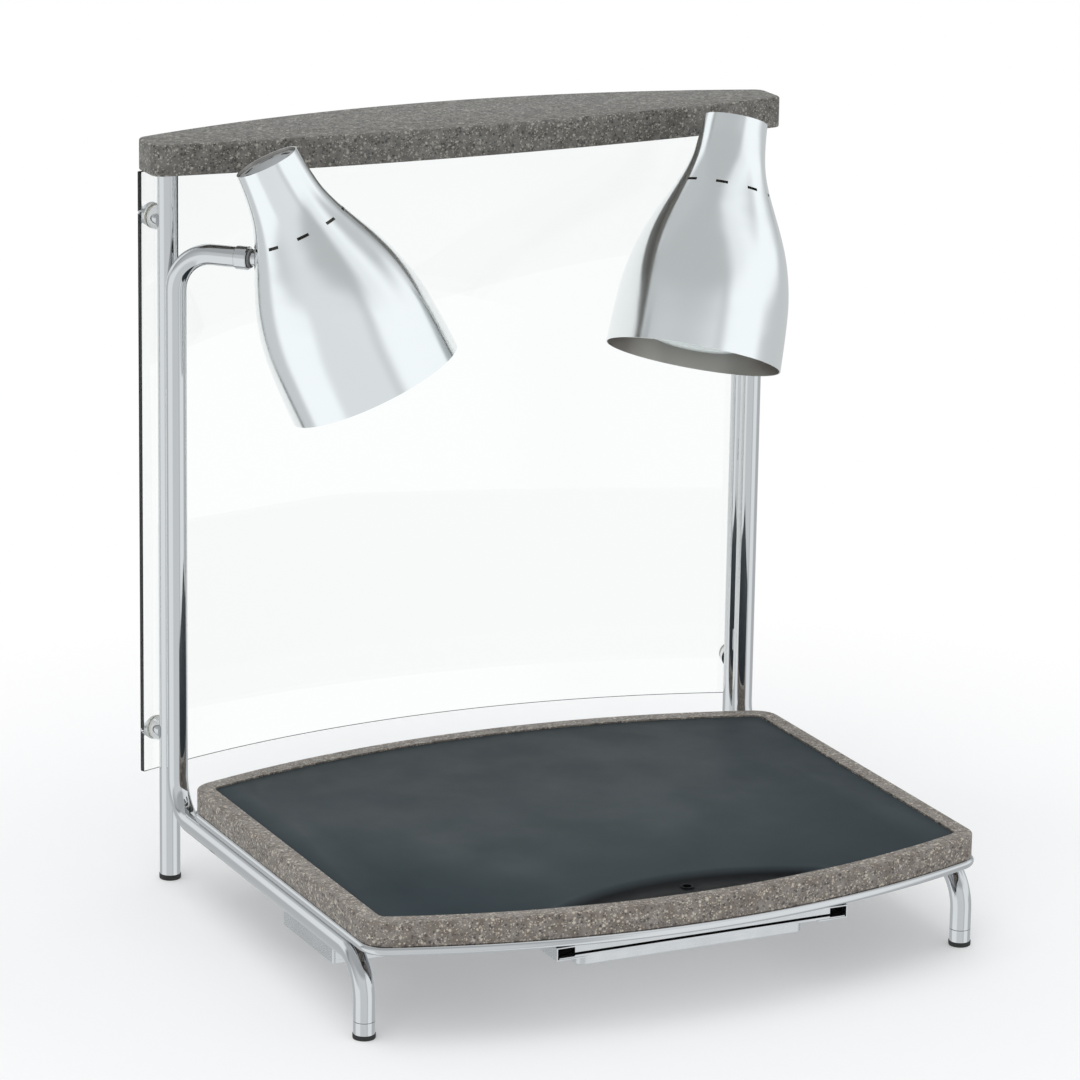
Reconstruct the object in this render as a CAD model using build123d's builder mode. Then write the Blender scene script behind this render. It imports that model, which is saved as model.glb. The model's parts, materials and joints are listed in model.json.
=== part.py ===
from build123d import *
import os
from math import asin, atan2, cos, radians, sin

# Heated carving station: a stone-bordered hot plate on a chromed tube frame, with a curved
# guard, a stone canopy and two swivelling infra-red lamps. Sizes in mm, +Z up, the operator
# stands at -Y. The origin is on the floor, at the middle of the whole object.

os.makedirs("parts", exist_ok=True)

# Chromed tube frame
tube_d = 22.2
tube_wall = 1.5
bend_r = 42.0
leg_x = 340.5
leg_y = -258.0
upright_y = 238.0
side_rail_z = 81.6
weld_gap = 0.3
post_y = upright_y + tube_d + weld_gap
weld_len = 24.0
weld_heights = (180.0, 400.0, 610.0)

# Feet
ferrule_h = 14.0
pad_h = 5.0
pad_d = 23.4
cap_h = 6.0
plug_len = 22.0
plug_clearance = 0.1

# Rail round the base, on top of the side rails
rod_d = 9.5
rod_inset = 2.0
rod_z = side_rail_z + tube_d / 2 + weld_gap + rod_d / 2

# Stone base: its straight sides overhang the legs, and its corners are set from legs and uprights
base_overhang = 5.5
base_half = leg_x + base_overhang
base_front = leg_y - 20.0
base_front_bow = 64.6
base_rear = upright_y - 55.0
base_rear_bow = 61.0
base_corner = 28.0
base_t = 25.4
base_edge = 2.0
base_z = rod_z + rod_d / 2
base_top = base_z + base_t

# Heated plate, let into the base
plate_border = 19.0
plate_gap = 0.4
plate_t = 6.4
plate_recess = 1.5
plate_top = base_top - plate_recess
plate_z = plate_top - plate_t
ledge_w = 26.0

# Dished well behind the middle of the plate's front edge, and its drain
plate_front = base_front - base_front_bow + plate_border + plate_gap
well_half = 158.0
well_front_y = plate_front + 2.8
well_end_y = plate_front + 19.2
well_back_y = plate_front + 66.2
well_depth = 4.4
well_floor_half = 120.0
well_floor_front_y = plate_front + 5.6
well_floor_end_y = plate_front + 17.2
well_floor_back_y = plate_front + 40.2
drain_y = well_floor_back_y - 8.0
drain_bore = 9.0
drain_wall = 1.2
drain_rim_d = 15.0
drain_rim_t = 1.0
drain_fit = 0.2
drain_hole = drain_bore + 2 * (drain_wall + drain_fit)

# Heater and its cover under the base
mat_t = 1.5
mat_gap = 2.0
insulation_t = 14.0
sheet = 1.2
cover_flange_inset = 30.0
cover_inset = 44.0
cover_depth = 9.8
cover_z = base_z - cover_depth
cover_screw_n = 10
screw_d = 4.0
screw_head_d = 8.0
screw_head_h = 2.4
screw_grip = 10.0
screw_fit = 0.1

# Drip tray and the housing that it slides in
housing_w = 328.0
housing_h = 13.7
housing_front = base_front - base_front_bow + 12.6
housing_depth = 168.0
runner_w = 34.0
tray_side_gap = 1.6
tray_slide_gap = 0.3
pan_gap = 2.5
pan_recess = 25.0
pan_drop = 20.2
pan_corner = 8.0
front_lip_w = 288.0
housing_lip_h = 7.0
tray_lip_h = 2.4
tray_lip_t = 1.5
tray_back_gap = 4.0

# Control box under the left side rail
box_side_gap = 1.4
box_w = 78.0
box_x = -leg_x + tube_d / 2 + box_side_gap + box_w / 2
box_h = 53.0
box_front = -151.0
box_len = 129.0
box_bottom_gap = 0.3
switch_x = box_x - 18.0
switch_z_drop = 24.0
switch_w = 13.0
switch_h = 19.0
switch_bezel = 2.0
switch_bezel_t = 1.6
switch_wall = 1.0
switch_depth = 24.0
rocker_gap = 0.3
rocker_pivot = 1.5
rocker_dip = 1.2
rocker_rest = 10.6
knob_x = box_x + 18.0
knob_z_drop = 29.0
knob_d = 26.0
knob_h = 15.0
knob_gap = 0.6
shaft_d = 6.0
shaft_fit = 0.05
pilot_d = 8.0
pilot_z_drop = 42.0
gland_d = 16.0
gland_bore = 8.0
gland_z_drop = 30.0

# Canopy
canopy_half = leg_x + 26.5
canopy_front = upright_y - 7.0
canopy_front_bow = 24.2
canopy_rear = upright_y + 41.7
canopy_rear_bow = 65.7
canopy_corner = 12.0
canopy_t = 33.2
canopy_z = 777.4
canopy_edge = 2.5
stud_d = 10.0
stud_len = 22.0
stud_fit = 0.1

# Curved guard and its stand-offs
guard_half = leg_x + 25.5
guard_end_y = post_y + 10.0
guard_bow = 67.0
guard_t = 6.0
guard_low = 120.0
guard_top_gap = 2.0
guard_heights = (guard_low + 46.0, canopy_z - 52.4)
standoff_d = 26.0
washer_t = 1.0
washer_gap = 0.05
guard_bolt_d = 6.0
guard_hole_fit = 1.5
button_d = 26.0
button_h = 4.0

# Lamp arms
arm_z = canopy_z - 80.9
arm_angle = 47.0
arm_len = 84.0
collar_d = 24.8
collar_len = 14.0
swivel_gap = 0.2
friction_washer_d = 20.0
friction_washer_t = 2.6
stem_shoulder_d = 15.0
stem_d = 12.0
stem_bore = 8.0
stem_end = 116.0
bush_len = 16.0
stem_fit = 0.05
nut_flats = 16.0
nut_t = 4.0
nut_gap = 0.1

# Shades: radius at each distance down from the top rim
axis_from_upright = 160.2
axis_from_top = 120.2
shade_tilt = 23.1
left_swivel = 11.5
right_swivel = 3.2
shade_outline = ((0, 34.0), (23, 36.0), (48, 40.3), (69, 47.4), (91, 57.5), (115, 68.9),
                 (139, 78.6), (165, 86.0), (191, 90.5), (223, 92.8), (259, 94.2))
shade_wall = 1.2
slot_n = 9
slot_len = 13.4
slot_h = 3.0
slot_at = 76.5
left_slot_turn = 21.5
right_slot_turn = 10.8
slot_reach = 60.0
cap_recess = 3.0
cap_t = 1.5
cap_gap = 0.2
cap_slot_n = 6
cap_slot_r = 24.0
cap_slot_w = 4.0
cap_slot_len = 16.0
holder_d = 40.0
holder_top = 60.0
holder_len = 46.0
holder_bore = 27.0
holder_bore_len = 30.0
bracket_at = 109.0
bracket_t = 1.6
bracket_w = 20.0
hub_d = 24.0
bulb_face = 250.0
bulb_r = 63.5
bulb_neck_r = 17.0
bulb_base_d = 26.4
bulb_base_gap = 1.0

sides = (("left", -1), ("right", 1))


def bowed_face(inset=0.0, half=base_half, front=base_front, front_bow=base_front_bow,
               rear=base_rear, rear_bow=base_rear_bow, corner=base_corner):
    """Face with straight sides, bowed front and back and round corners, drawn in by inset."""
    with BuildSketch(mode=Mode.PRIVATE) as outline:
        with BuildLine():
            ThreePointArc((-half, front), (0, front - front_bow), (half, front))
            Line((half, front), (half, rear))
            ThreePointArc((half, rear), (0, rear + rear_bow), (-half, rear))
            Line((-half, rear), (-half, front))
        make_face()
        fillet(outline.vertices(), corner)
        if inset:
            offset(amount=-inset)
    return outline.sketch


# Curve of the guard, and the turn of its stand-offs
guard_radius = (guard_half ** 2 + guard_bow ** 2) / (2 * guard_bow)
guard_centre = Vector(0, guard_end_y + guard_bow - guard_radius, 0)
guard_turn = atan2(leg_x, post_y - guard_centre.Y)
post_reach = guard_radius - Vector(leg_x, post_y - guard_centre.Y).length
washer_back = washer_t + washer_gap + standoff_d ** 2 / 8 / guard_radius


def guard_axis(side, height, distance):
    """Plane square to the guard at a stand-off, distance behind the guard's front face."""
    direction = Vector(side * sin(guard_turn), cos(guard_turn), 0)
    spot = guard_centre + direction * (guard_radius + distance) + Vector(0, 0, height)
    return Plane(spot, z_dir=direction)


def save(builder, name):
    """Label a finished piece and write its STEP file."""
    builder.part.label = name
    export_step(builder.part, f"parts/{name}.step")


# Frame tubes: front leg, side rail, upright and lamp arm in one bent tube
leg_foot_z = pad_h + ferrule_h
collar_start = arm_len - collar_len
for side_name, side in sides:
    arm_dir = Vector(-side * cos(radians(arm_angle)), -sin(radians(arm_angle)), 0)
    arm_root = Vector(side * leg_x, upright_y, arm_z)
    with BuildPart() as frame_tube:
        with BuildLine() as bends:
            FilletPolyline(
                (side * leg_x, leg_y, leg_foot_z),
                (side * leg_x, leg_y, side_rail_z),
                (side * leg_x, upright_y, side_rail_z),
                arm_root,
                arm_root + arm_dir * arm_len,
                radius=bend_r,
            )
        with BuildSketch(Plane((side * leg_x, leg_y, leg_foot_z))):
            Circle(tube_d / 2)
            Circle(tube_d / 2 - tube_wall, mode=Mode.SUBTRACT)
        sweep()
    save(frame_tube, f"{side_name}_frame_tube")

    # Collar over the end of the arm
    with BuildPart() as arm_collar:
        with BuildSketch(Plane(arm_root + arm_dir * collar_start, z_dir=arm_dir)):
            Circle(collar_d / 2)
            Circle(tube_d / 2, mode=Mode.SUBTRACT)
        extrude(amount=collar_len)
    save(arm_collar, f"{side_name}_arm_collar")

    # Straight post behind the upright
    with BuildPart() as post:
        with BuildSketch(Plane.XY.offset(cap_h)):
            with Locations((side * leg_x, post_y)):
                Circle(tube_d / 2)
                Circle(tube_d / 2 - tube_wall, mode=Mode.SUBTRACT)
        extrude(amount=canopy_z - cap_h)
        for height in guard_heights:
            with BuildSketch(guard_axis(side, height, 0)):
                Circle(guard_bolt_d / 2 + screw_fit)
            extrude(amount=-post_reach, mode=Mode.SUBTRACT)
    save(post, f"{side_name}_post")

# Weld seams in the valleys between upright and post
with BuildPart() as weld_seams:
    for height in weld_heights:
        with BuildSketch(Plane.XY.offset(height)):
            with Locations(*[(side * leg_x, (upright_y + post_y) / 2) for _, side in sides]):
                Rectangle(tube_d * 0.6, tube_d * 0.5)
            with Locations(*[(side * leg_x, y) for _, side in sides for y in (upright_y, post_y)]):
                Circle(tube_d / 2, mode=Mode.SUBTRACT)
            with Locations(*[(side * leg_x, (upright_y + post_y) / 2) for _, side in sides]):
                Rectangle(tube_d * 0.3, tube_d * 0.5, mode=Mode.SUBTRACT)
        extrude(amount=weld_len)
save(weld_seams, "upright_weld_seams")

# Front feet: ferrule with a plug in the tube, and a soft pad
plug_d = tube_d - 2 * tube_wall - 2 * plug_clearance
front_feet = [(side * leg_x, leg_y) for _, side in sides]
with BuildPart() as ferrules:
    with BuildSketch(Plane.XY.offset(pad_h)):
        with Locations(*front_feet):
            Circle(tube_d / 2)
    extrude(amount=ferrule_h)
    with BuildSketch(Plane.XY.offset(leg_foot_z)):
        with Locations(*front_feet):
            Circle(plug_d / 2)
    extrude(amount=plug_len)
    chamfer(ferrules.edges().filter_by(GeomType.CIRCLE).group_by(Axis.Z)[-1], 0.8)
save(ferrules, "front_foot_ferrules")

with BuildPart() as front_pads:
    with BuildSketch():
        with Locations(*front_feet):
            Circle(pad_d / 2)
    extrude(amount=pad_h)
    fillet(front_pads.edges().filter_by(GeomType.CIRCLE).group_by(Axis.Z)[0], 1.2)
save(front_pads, "front_foot_pads")

# Rear feet: soft caps with a plug in the post
rear_feet = [(side * leg_x, post_y) for _, side in sides]
with BuildPart() as rear_caps:
    with BuildSketch():
        with Locations(*rear_feet):
            Circle(pad_d / 2)
    extrude(amount=cap_h)
    with BuildSketch(Plane.XY.offset(cap_h)):
        with Locations(*rear_feet):
            Circle(plug_d / 2)
    extrude(amount=plug_len)
    fillet(rear_caps.edges().filter_by(GeomType.CIRCLE).group_by(Axis.Z)[0], 1.2)
save(rear_caps, "rear_foot_caps")

# Round-bar rail, following the edge of the base
rail_face = bowed_face(inset=rod_inset)
rail_wire = rail_face.face().outer_wire().moved(Location((0, 0, rod_z)))
with BuildPart() as edge_rail:
    with BuildSketch(Plane(rail_wire @ 0, z_dir=rail_wire % 0)):
        Circle(rod_d / 2)
    sweep(path=rail_wire)
save(edge_rail, "edge_rail")

# Cover screws, spread along the middle of the cover's flange
screw_ring = bowed_face(inset=(cover_flange_inset + cover_inset) / 2).face().outer_wire()
screw_spots = [(spot.X, spot.Y) for spot in
               (screw_ring @ (n / cover_screw_n) for n in range(cover_screw_n))]

# Stone base with a stepped opening for the plate
with BuildPart() as stone_base:
    with BuildSketch(Plane.XY.offset(base_z)):
        add(bowed_face())
    extrude(amount=base_t)
    fillet(stone_base.faces().sort_by(Axis.Z)[-1].edges(), base_edge)
    chamfer(stone_base.faces().sort_by(Axis.Z)[0].edges(), base_edge / 2)
    with BuildSketch(Plane.XY.offset(plate_z)):
        add(bowed_face(inset=plate_border))
    extrude(amount=base_t, mode=Mode.SUBTRACT)
    with BuildSketch(Plane.XY.offset(base_z)):
        add(bowed_face(inset=plate_border + ledge_w))
    extrude(amount=base_t, mode=Mode.SUBTRACT)
    with BuildSketch(Plane.XY.offset(base_z)):
        with Locations(*screw_spots):
            Circle(screw_d / 2 + screw_fit)
    extrude(amount=screw_grip + 1, mode=Mode.SUBTRACT)
save(stone_base, "stone_base")

# Heated plate with its dished well and drain hole
with BuildPart() as heated_plate:
    with BuildSketch(Plane.XY.offset(plate_z)):
        add(bowed_face(inset=plate_border + plate_gap))
    extrude(amount=plate_t)
    chamfer(heated_plate.faces().sort_by(Axis.Z)[-1].edges(), 0.5)
    with BuildPart(mode=Mode.SUBTRACT):
        with BuildSketch(Plane.XY.offset(plate_top)):
            with BuildLine():
                ThreePointArc((-well_half, well_end_y), (0, well_back_y), (well_half, well_end_y))
                ThreePointArc((well_half, well_end_y), (0, well_front_y), (-well_half, well_end_y))
            make_face()
        with BuildSketch(Plane.XY.offset(plate_top - well_depth)):
            with BuildLine():
                ThreePointArc((-well_floor_half, well_floor_end_y), (0, well_floor_back_y),
                              (well_floor_half, well_floor_end_y))
                ThreePointArc((well_floor_half, well_floor_end_y), (0, well_floor_front_y),
                              (-well_floor_half, well_floor_end_y))
            make_face()
        loft()
    with BuildSketch(Plane.XY.offset(plate_z)):
        with Locations((0, drain_y)):
            Circle(drain_hole / 2)
    extrude(amount=plate_t, mode=Mode.SUBTRACT)
save(heated_plate, "heated_plate")

# Drain spout, from the floor of the well to the tray
drain_top = plate_top - well_depth
spout_z = cover_z - sheet - 3.0
with BuildPart() as drain_spout:
    with BuildSketch(Plane.XY.offset(spout_z)):
        with Locations((0, drain_y)):
            Circle(drain_bore / 2 + drain_wall)
    extrude(amount=drain_top - spout_z)
    with BuildSketch(Plane.XY.offset(drain_top)):
        with Locations((0, drain_y)):
            Circle(drain_rim_d / 2)
    extrude(amount=drain_rim_t)
    with BuildSketch(Plane.XY.offset(spout_z)):
        with Locations((0, drain_y)):
            Circle(drain_bore / 2)
    extrude(amount=base_t + housing_h, mode=Mode.SUBTRACT)
save(drain_spout, "drain_spout")

# Foil heater, insulation and the cover under the base
with BuildPart() as heater_mat:
    with BuildSketch(Plane.XY.offset(plate_z - mat_t)):
        add(bowed_face(inset=plate_border + ledge_w + mat_gap))
        with Locations((0, drain_y)):
            Circle(drain_hole / 2 + mat_gap, mode=Mode.SUBTRACT)
    extrude(amount=mat_t)
save(heater_mat, "heater_mat")

with BuildPart() as insulation:
    with BuildSketch(Plane.XY.offset(plate_z - mat_t - insulation_t)):
        add(bowed_face(inset=plate_border + ledge_w + mat_gap))
        with Locations((0, drain_y)):
            Circle(drain_hole / 2 + mat_gap, mode=Mode.SUBTRACT)
    extrude(amount=insulation_t)
save(insulation, "insulation_board")

with BuildPart() as base_cover:
    with BuildSketch(Plane.XY.offset(base_z - sheet)):
        add(bowed_face(inset=cover_flange_inset))
    extrude(amount=sheet)
    with BuildSketch(Plane.XY.offset(cover_z)):
        add(bowed_face(inset=cover_inset))
    extrude(amount=cover_depth)
    with BuildSketch(Plane.XY.offset(cover_z + sheet)):
        add(bowed_face(inset=cover_inset + sheet))
    extrude(amount=cover_depth, mode=Mode.SUBTRACT)
    with BuildSketch(Plane.XY.offset(base_z - sheet)):
        with Locations(*screw_spots):
            Circle(screw_d / 2 + screw_fit)
    extrude(amount=sheet, mode=Mode.SUBTRACT)
    with BuildSketch(Plane.XY.offset(cover_z)):
        with Locations((0, drain_y)):
            Circle(drain_hole / 2)
    extrude(amount=sheet, mode=Mode.SUBTRACT)
save(base_cover, "base_cover")

# Tray housing: a low channel with runners, open to the front below a turned-down lip
housing_top = cover_z
housing_rear = housing_front + housing_depth
with BuildPart() as tray_housing:
    with BuildSketch(Plane.XZ.offset(-housing_front)):
        with Locations((0, housing_top - housing_h / 2)):
            Rectangle(housing_w, housing_h)
            Rectangle(housing_w - 2 * sheet, housing_h - 2 * sheet, mode=Mode.SUBTRACT)
        with Locations((0, housing_top - housing_h + sheet / 2)):
            Rectangle(housing_w - 2 * runner_w, sheet, mode=Mode.SUBTRACT)
    extrude(amount=-housing_depth)
    with BuildSketch(Plane.XZ.offset(-(housing_rear - sheet))):
        with Locations((0, housing_top - housing_h / 2)):
            Rectangle(housing_w, housing_h)
    extrude(amount=-sheet)
    with BuildSketch(Plane.XZ.offset(-housing_front)):
        with Locations((0, housing_top - housing_lip_h / 2)):
            Rectangle(front_lip_w, housing_lip_h)
    extrude(amount=-sheet)
    with BuildSketch(Plane.XY.offset(housing_top - sheet)):
        with Locations((0, drain_y)):
            Circle(drain_hole / 2)
    extrude(amount=sheet, mode=Mode.SUBTRACT)
save(tray_housing, "tray_housing")

# Drip tray: its side flanges ride on the runners, its pan hangs between them, and its front
# edge is turned up into a lip
runner_top = housing_top - housing_h + sheet
flange_z = runner_top + tray_slide_gap
pan_z = flange_z + sheet - pan_drop
pan_w = housing_w - 2 * (runner_w + pan_gap)
tray_len = housing_depth - sheet - tray_back_gap
tray_mid_y = housing_front + tray_len / 2
pan_len = tray_len - pan_recess
pan_mid_y = tray_mid_y + pan_recess / 2
with BuildPart() as drip_tray:
    with BuildSketch(Plane.XY.offset(flange_z)):
        with Locations((0, tray_mid_y)):
            Rectangle(housing_w - 2 * sheet - 2 * tray_side_gap, tray_len)
    extrude(amount=sheet)
    with BuildSketch(Plane.XY.offset(pan_z)):
        with Locations((0, pan_mid_y)):
            RectangleRounded(pan_w, pan_len, pan_corner)
    extrude(amount=pan_drop)
    with BuildSketch(Plane.XY.offset(pan_z + sheet)):
        with Locations((0, pan_mid_y)):
            RectangleRounded(pan_w - 2 * sheet, pan_len - 2 * sheet, pan_corner - sheet)
    extrude(amount=pan_drop, mode=Mode.SUBTRACT)
    with BuildSketch(Plane.XZ.offset(-housing_front)):
        with Locations((0, flange_z + tray_lip_h / 2)):
            Rectangle(front_lip_w, tray_lip_h)
    extrude(amount=-tray_lip_t)
save(drip_tray, "drip_tray")

# Control box, open below, with a bottom plate
box_top = cover_z
box_z = box_top - box_h
box_rear = box_front + box_len
box_y = (box_front + box_rear) / 2
with BuildPart() as control_box:
    with BuildSketch(Plane.XY.offset(box_z)):
        with Locations((box_x, box_y)):
            RectangleRounded(box_w, box_len, 3)
    extrude(amount=box_h)
    with BuildSketch(Plane.XY.offset(box_z)):
        with Locations((box_x, box_y)):
            RectangleRounded(box_w - 2 * sheet, box_len - 2 * sheet, 2)
    extrude(amount=box_h - sheet, mode=Mode.SUBTRACT)
    with BuildSketch(Plane.XZ.offset(-box_front)):
        with Locations((switch_x, box_top - switch_z_drop)):
            Rectangle(switch_w, switch_h)
        with Locations((knob_x, box_top - knob_z_drop)):
            Circle(shaft_d / 2 + 2)
        with Locations((switch_x, box_top - pilot_z_drop)):
            Circle(pilot_d / 2)
    extrude(amount=-2 * sheet, mode=Mode.SUBTRACT)
    with BuildSketch(Plane.XZ.offset(-box_rear)):
        with Locations((box_x, box_top - gland_z_drop)):
            Circle(gland_d / 2)
    extrude(amount=2 * sheet, mode=Mode.SUBTRACT)
save(control_box, "control_box")

with BuildPart() as box_plate:
    with BuildSketch(Plane.XY.offset(box_z)):
        with Locations((box_x, box_y)):
            RectangleRounded(box_w - 2 * sheet - 2 * box_bottom_gap,
                             box_len - 2 * sheet - 2 * box_bottom_gap, 1.6)
    extrude(amount=sheet)
save(box_plate, "control_box_plate")

# Rocker switch: its body in the front wall of the box, and the rocker in it
switch_plane = Plane((switch_x, box_front, box_top - switch_z_drop), x_dir=(1, 0, 0), z_dir=(0, -1, 0))
rocker_reach = switch_h / 2 - switch_wall - rocker_gap
with BuildPart() as switch_body:
    with BuildSketch(switch_plane):
        Rectangle(switch_w + 2 * switch_bezel, switch_h + 2 * switch_bezel)
    extrude(amount=switch_bezel_t)
    with BuildSketch(switch_plane):
        Rectangle(switch_w, switch_h)
    extrude(amount=-switch_depth)
    with BuildSketch(switch_plane.offset(switch_bezel_t)):
        Rectangle(switch_w - 2 * switch_wall, switch_h - 2 * switch_wall)
    extrude(amount=-(switch_bezel_t + rocker_pivot + rocker_reach * 0.7), mode=Mode.SUBTRACT)
save(switch_body, "lamp_switch_body")

rocker_plane = Plane((switch_x, box_front + rocker_pivot, box_top - switch_z_drop),
                     x_dir=(0, -cos(radians(rocker_rest)), sin(radians(rocker_rest))), z_dir=(-1, 0, 0))
with BuildPart() as rocker:
    with BuildSketch(rocker_plane):
        with BuildLine():
            out = rocker_reach * sin(radians(2 * rocker_rest))
            up = rocker_reach * cos(radians(2 * rocker_rest))
            Polyline((out, -up), (out - rocker_dip, 0), (out, up))
            ThreePointArc((out, up), (0, rocker_reach), (-out, up))
            Line((-out, up), (-out, -up))
            ThreePointArc((-out, -up), (0, -rocker_reach), (out, -up))
        make_face()
    extrude(amount=switch_w / 2 - switch_wall - rocker_gap, both=True)
save(rocker, "lamp_rocker")

# Thermostat, its shaft and knob
knob_plane = Plane((knob_x, box_front, box_top - knob_z_drop), x_dir=(1, 0, 0), z_dir=(0, -1, 0))
with BuildPart() as thermostat:
    with BuildSketch(knob_plane.offset(-sheet)):
        RectangleRounded(30, 28, 2)
    extrude(amount=-26)
    with BuildSketch(knob_plane.offset(-sheet)):
        Circle(shaft_d / 2 + 1.6)
    extrude(amount=sheet + 0.2)
    with BuildSketch(knob_plane.offset(-4)):
        Circle(shaft_d / 2 + shaft_fit)
    extrude(amount=10, mode=Mode.SUBTRACT)
save(thermostat, "thermostat")

with BuildPart() as knob:
    with BuildSketch(knob_plane.offset(knob_gap)):
        Circle(knob_d / 2)
    extrude(amount=knob_h, taper=5)
    with BuildSketch(knob_plane.offset(knob_gap)):
        Circle(shaft_d / 2)
    extrude(amount=-4)
save(knob, "thermostat_knob")

pilot_plane = Plane((switch_x, box_front, box_top - pilot_z_drop), x_dir=(1, 0, 0), z_dir=(0, -1, 0))
with BuildPart() as pilot:
    with BuildSketch(pilot_plane):
        Circle(pilot_d / 2 + 1.2)
    extrude(amount=1.6)
    with BuildSketch(pilot_plane):
        Circle(pilot_d / 2 - 0.1)
    extrude(amount=-14)
save(pilot, "pilot_light")

# Terminal block and cord gland
with BuildPart() as terminal_block:
    with BuildSketch(Plane.XY.offset(box_z + sheet)):
        with Locations((box_x, box_rear - 34)):
            Rectangle(48, 22)
    extrude(amount=16)
    with BuildSketch(Plane.XY.offset(box_z + sheet + 16)):
        with Locations((box_x, box_rear - 34)):
            with GridLocations(12, 12, 4, 2):
                Circle(2.6)
    extrude(amount=-6, mode=Mode.SUBTRACT)
save(terminal_block, "terminal_block")

gland_plane = Plane((box_x, box_rear, box_top - gland_z_drop), x_dir=(1, 0, 0), z_dir=(0, 1, 0))
with BuildPart() as gland:
    with BuildSketch(gland_plane):
        Circle(gland_d / 2 + 3)
    extrude(amount=5)
    with BuildSketch(gland_plane):
        Circle(gland_d / 2 - 0.1)
    extrude(amount=-10)
    with BuildSketch(gland_plane.offset(5)):
        Circle(gland_bore / 2)
    extrude(amount=-20, mode=Mode.SUBTRACT)
save(gland, "cord_gland")

# Canopy
with BuildPart() as canopy:
    with BuildSketch(Plane.XY.offset(canopy_z)):
        add(bowed_face(half=canopy_half, front=canopy_front, front_bow=canopy_front_bow,
                       rear=canopy_rear, rear_bow=canopy_rear_bow, corner=canopy_corner))
    extrude(amount=canopy_t)
    fillet(canopy.faces().sort_by(Axis.Z)[-1].edges(), canopy_edge)
    fillet(canopy.faces().sort_by(Axis.Z)[0].edges(), canopy_edge)
    with BuildSketch(Plane.XY.offset(canopy_z)):
        with Locations(*rear_feet):
            Circle(stud_d / 2 + stud_fit)
    extrude(amount=stud_len + 1, mode=Mode.SUBTRACT)
save(canopy, "canopy")

with BuildPart() as canopy_studs:
    with BuildSketch(Plane.XY.offset(canopy_z - plug_len)):
        with Locations(*rear_feet):
            Circle(plug_d / 2)
    extrude(amount=plug_len)
    with BuildSketch(Plane.XY.offset(canopy_z)):
        with Locations(*rear_feet):
            Circle(stud_d / 2)
    extrude(amount=stud_len)
save(canopy_studs, "canopy_studs")

# Curved guard
guard_end = asin(guard_half / guard_radius)
with BuildPart() as guard:
    with BuildSketch(Plane.XY.offset(guard_low)):
        with BuildLine():
            inner = [guard_centre + Vector(sin(a), cos(a)) * guard_radius for a in (-guard_end, 0, guard_end)]
            outer = [guard_centre + Vector(sin(a), cos(a)) * (guard_radius + guard_t)
                     for a in (guard_end, 0, -guard_end)]
            ThreePointArc(*inner)
            Line(inner[-1], outer[0])
            ThreePointArc(*outer)
            Line(outer[-1], inner[0])
        make_face()
    extrude(amount=canopy_z - guard_top_gap - guard_low)
    for _, side in sides:
        for height in guard_heights:
            with BuildSketch(guard_axis(side, height, -2)):
                Circle((guard_bolt_d + guard_hole_fit) / 2)
            extrude(amount=guard_t + 4, mode=Mode.SUBTRACT)
save(guard, "curved_guard")

# Guard stand-offs, soft washers, buttons and bolts
with BuildPart() as standoffs:
    for _, side in sides:
        for height in guard_heights:
            with BuildSketch(guard_axis(side, height, -washer_back)):
                Circle(standoff_d / 2)
                Circle(guard_bolt_d / 2 + screw_fit, mode=Mode.SUBTRACT)
            extrude(amount=-(post_reach - washer_back))
    with BuildSketch(Plane.XY.offset(guard_low)):
        with Locations(*rear_feet):
            Circle(tube_d / 2)
    extrude(amount=canopy_z - guard_low, mode=Mode.SUBTRACT)
save(standoffs, "guard_standoffs")

with BuildPart() as washers:
    for _, side in sides:
        for height in guard_heights:
            for start in (-washer_back, guard_t + washer_gap):
                with BuildSketch(guard_axis(side, height, start)):
                    Circle(standoff_d / 2)
                    Circle(guard_bolt_d / 2 + screw_fit, mode=Mode.SUBTRACT)
                extrude(amount=washer_t)
save(washers, "guard_washers")

with BuildPart() as guard_bolts:
    for _, side in sides:
        for height in guard_heights:
            with BuildSketch(guard_axis(side, height, guard_t + washer_gap + washer_t)):
                Circle(button_d / 2)
            extrude(amount=button_h)
            with BuildSketch(guard_axis(side, height, guard_t + washer_gap + washer_t)):
                Circle(guard_bolt_d / 2)
            extrude(amount=-(guard_t + washer_t + post_reach))
    fillet(guard_bolts.edges().filter_by(GeomType.CIRCLE).filter_by(
        lambda edge: edge.radius > guard_bolt_d).group_by(Axis.Y)[-1], 1.5)
save(guard_bolts, "guard_bolts")


def shade_plane(side, swivel):
    """Frame of a shade: origin on its axis where the arm's line crosses, Z up the shade, -X to the arm."""
    arm_dir = Vector(-side * cos(radians(arm_angle)), -sin(radians(arm_angle)), 0)
    across = Vector(-side * sin(radians(arm_angle)), cos(radians(arm_angle)), 0)
    hang = Vector(0, 0, -cos(radians(swivel))) + across * sin(radians(swivel))
    mouth = arm_dir * sin(radians(shade_tilt)) + hang * cos(radians(shade_tilt))
    inward = arm_dir * cos(radians(shade_tilt)) - hang * sin(radians(shade_tilt))
    origin = Vector(side * leg_x, upright_y, arm_z) + arm_dir * axis_from_upright
    return Plane(origin, x_dir=inward, z_dir=-mouth), arm_dir


def inside_outline(section, wall):
    """Half section of everything inside the shade's outline, drawn in by wall."""
    with BuildSketch(section, mode=Mode.PRIVATE) as region:
        with BuildLine():
            curve = Spline(*[(r - wall, -drop) for drop, r in shade_outline])
            Polyline(curve @ 1, (0, (curve @ 1).Y), (0, 0), curve @ 0)
        make_face()
    return region.sketch


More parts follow.
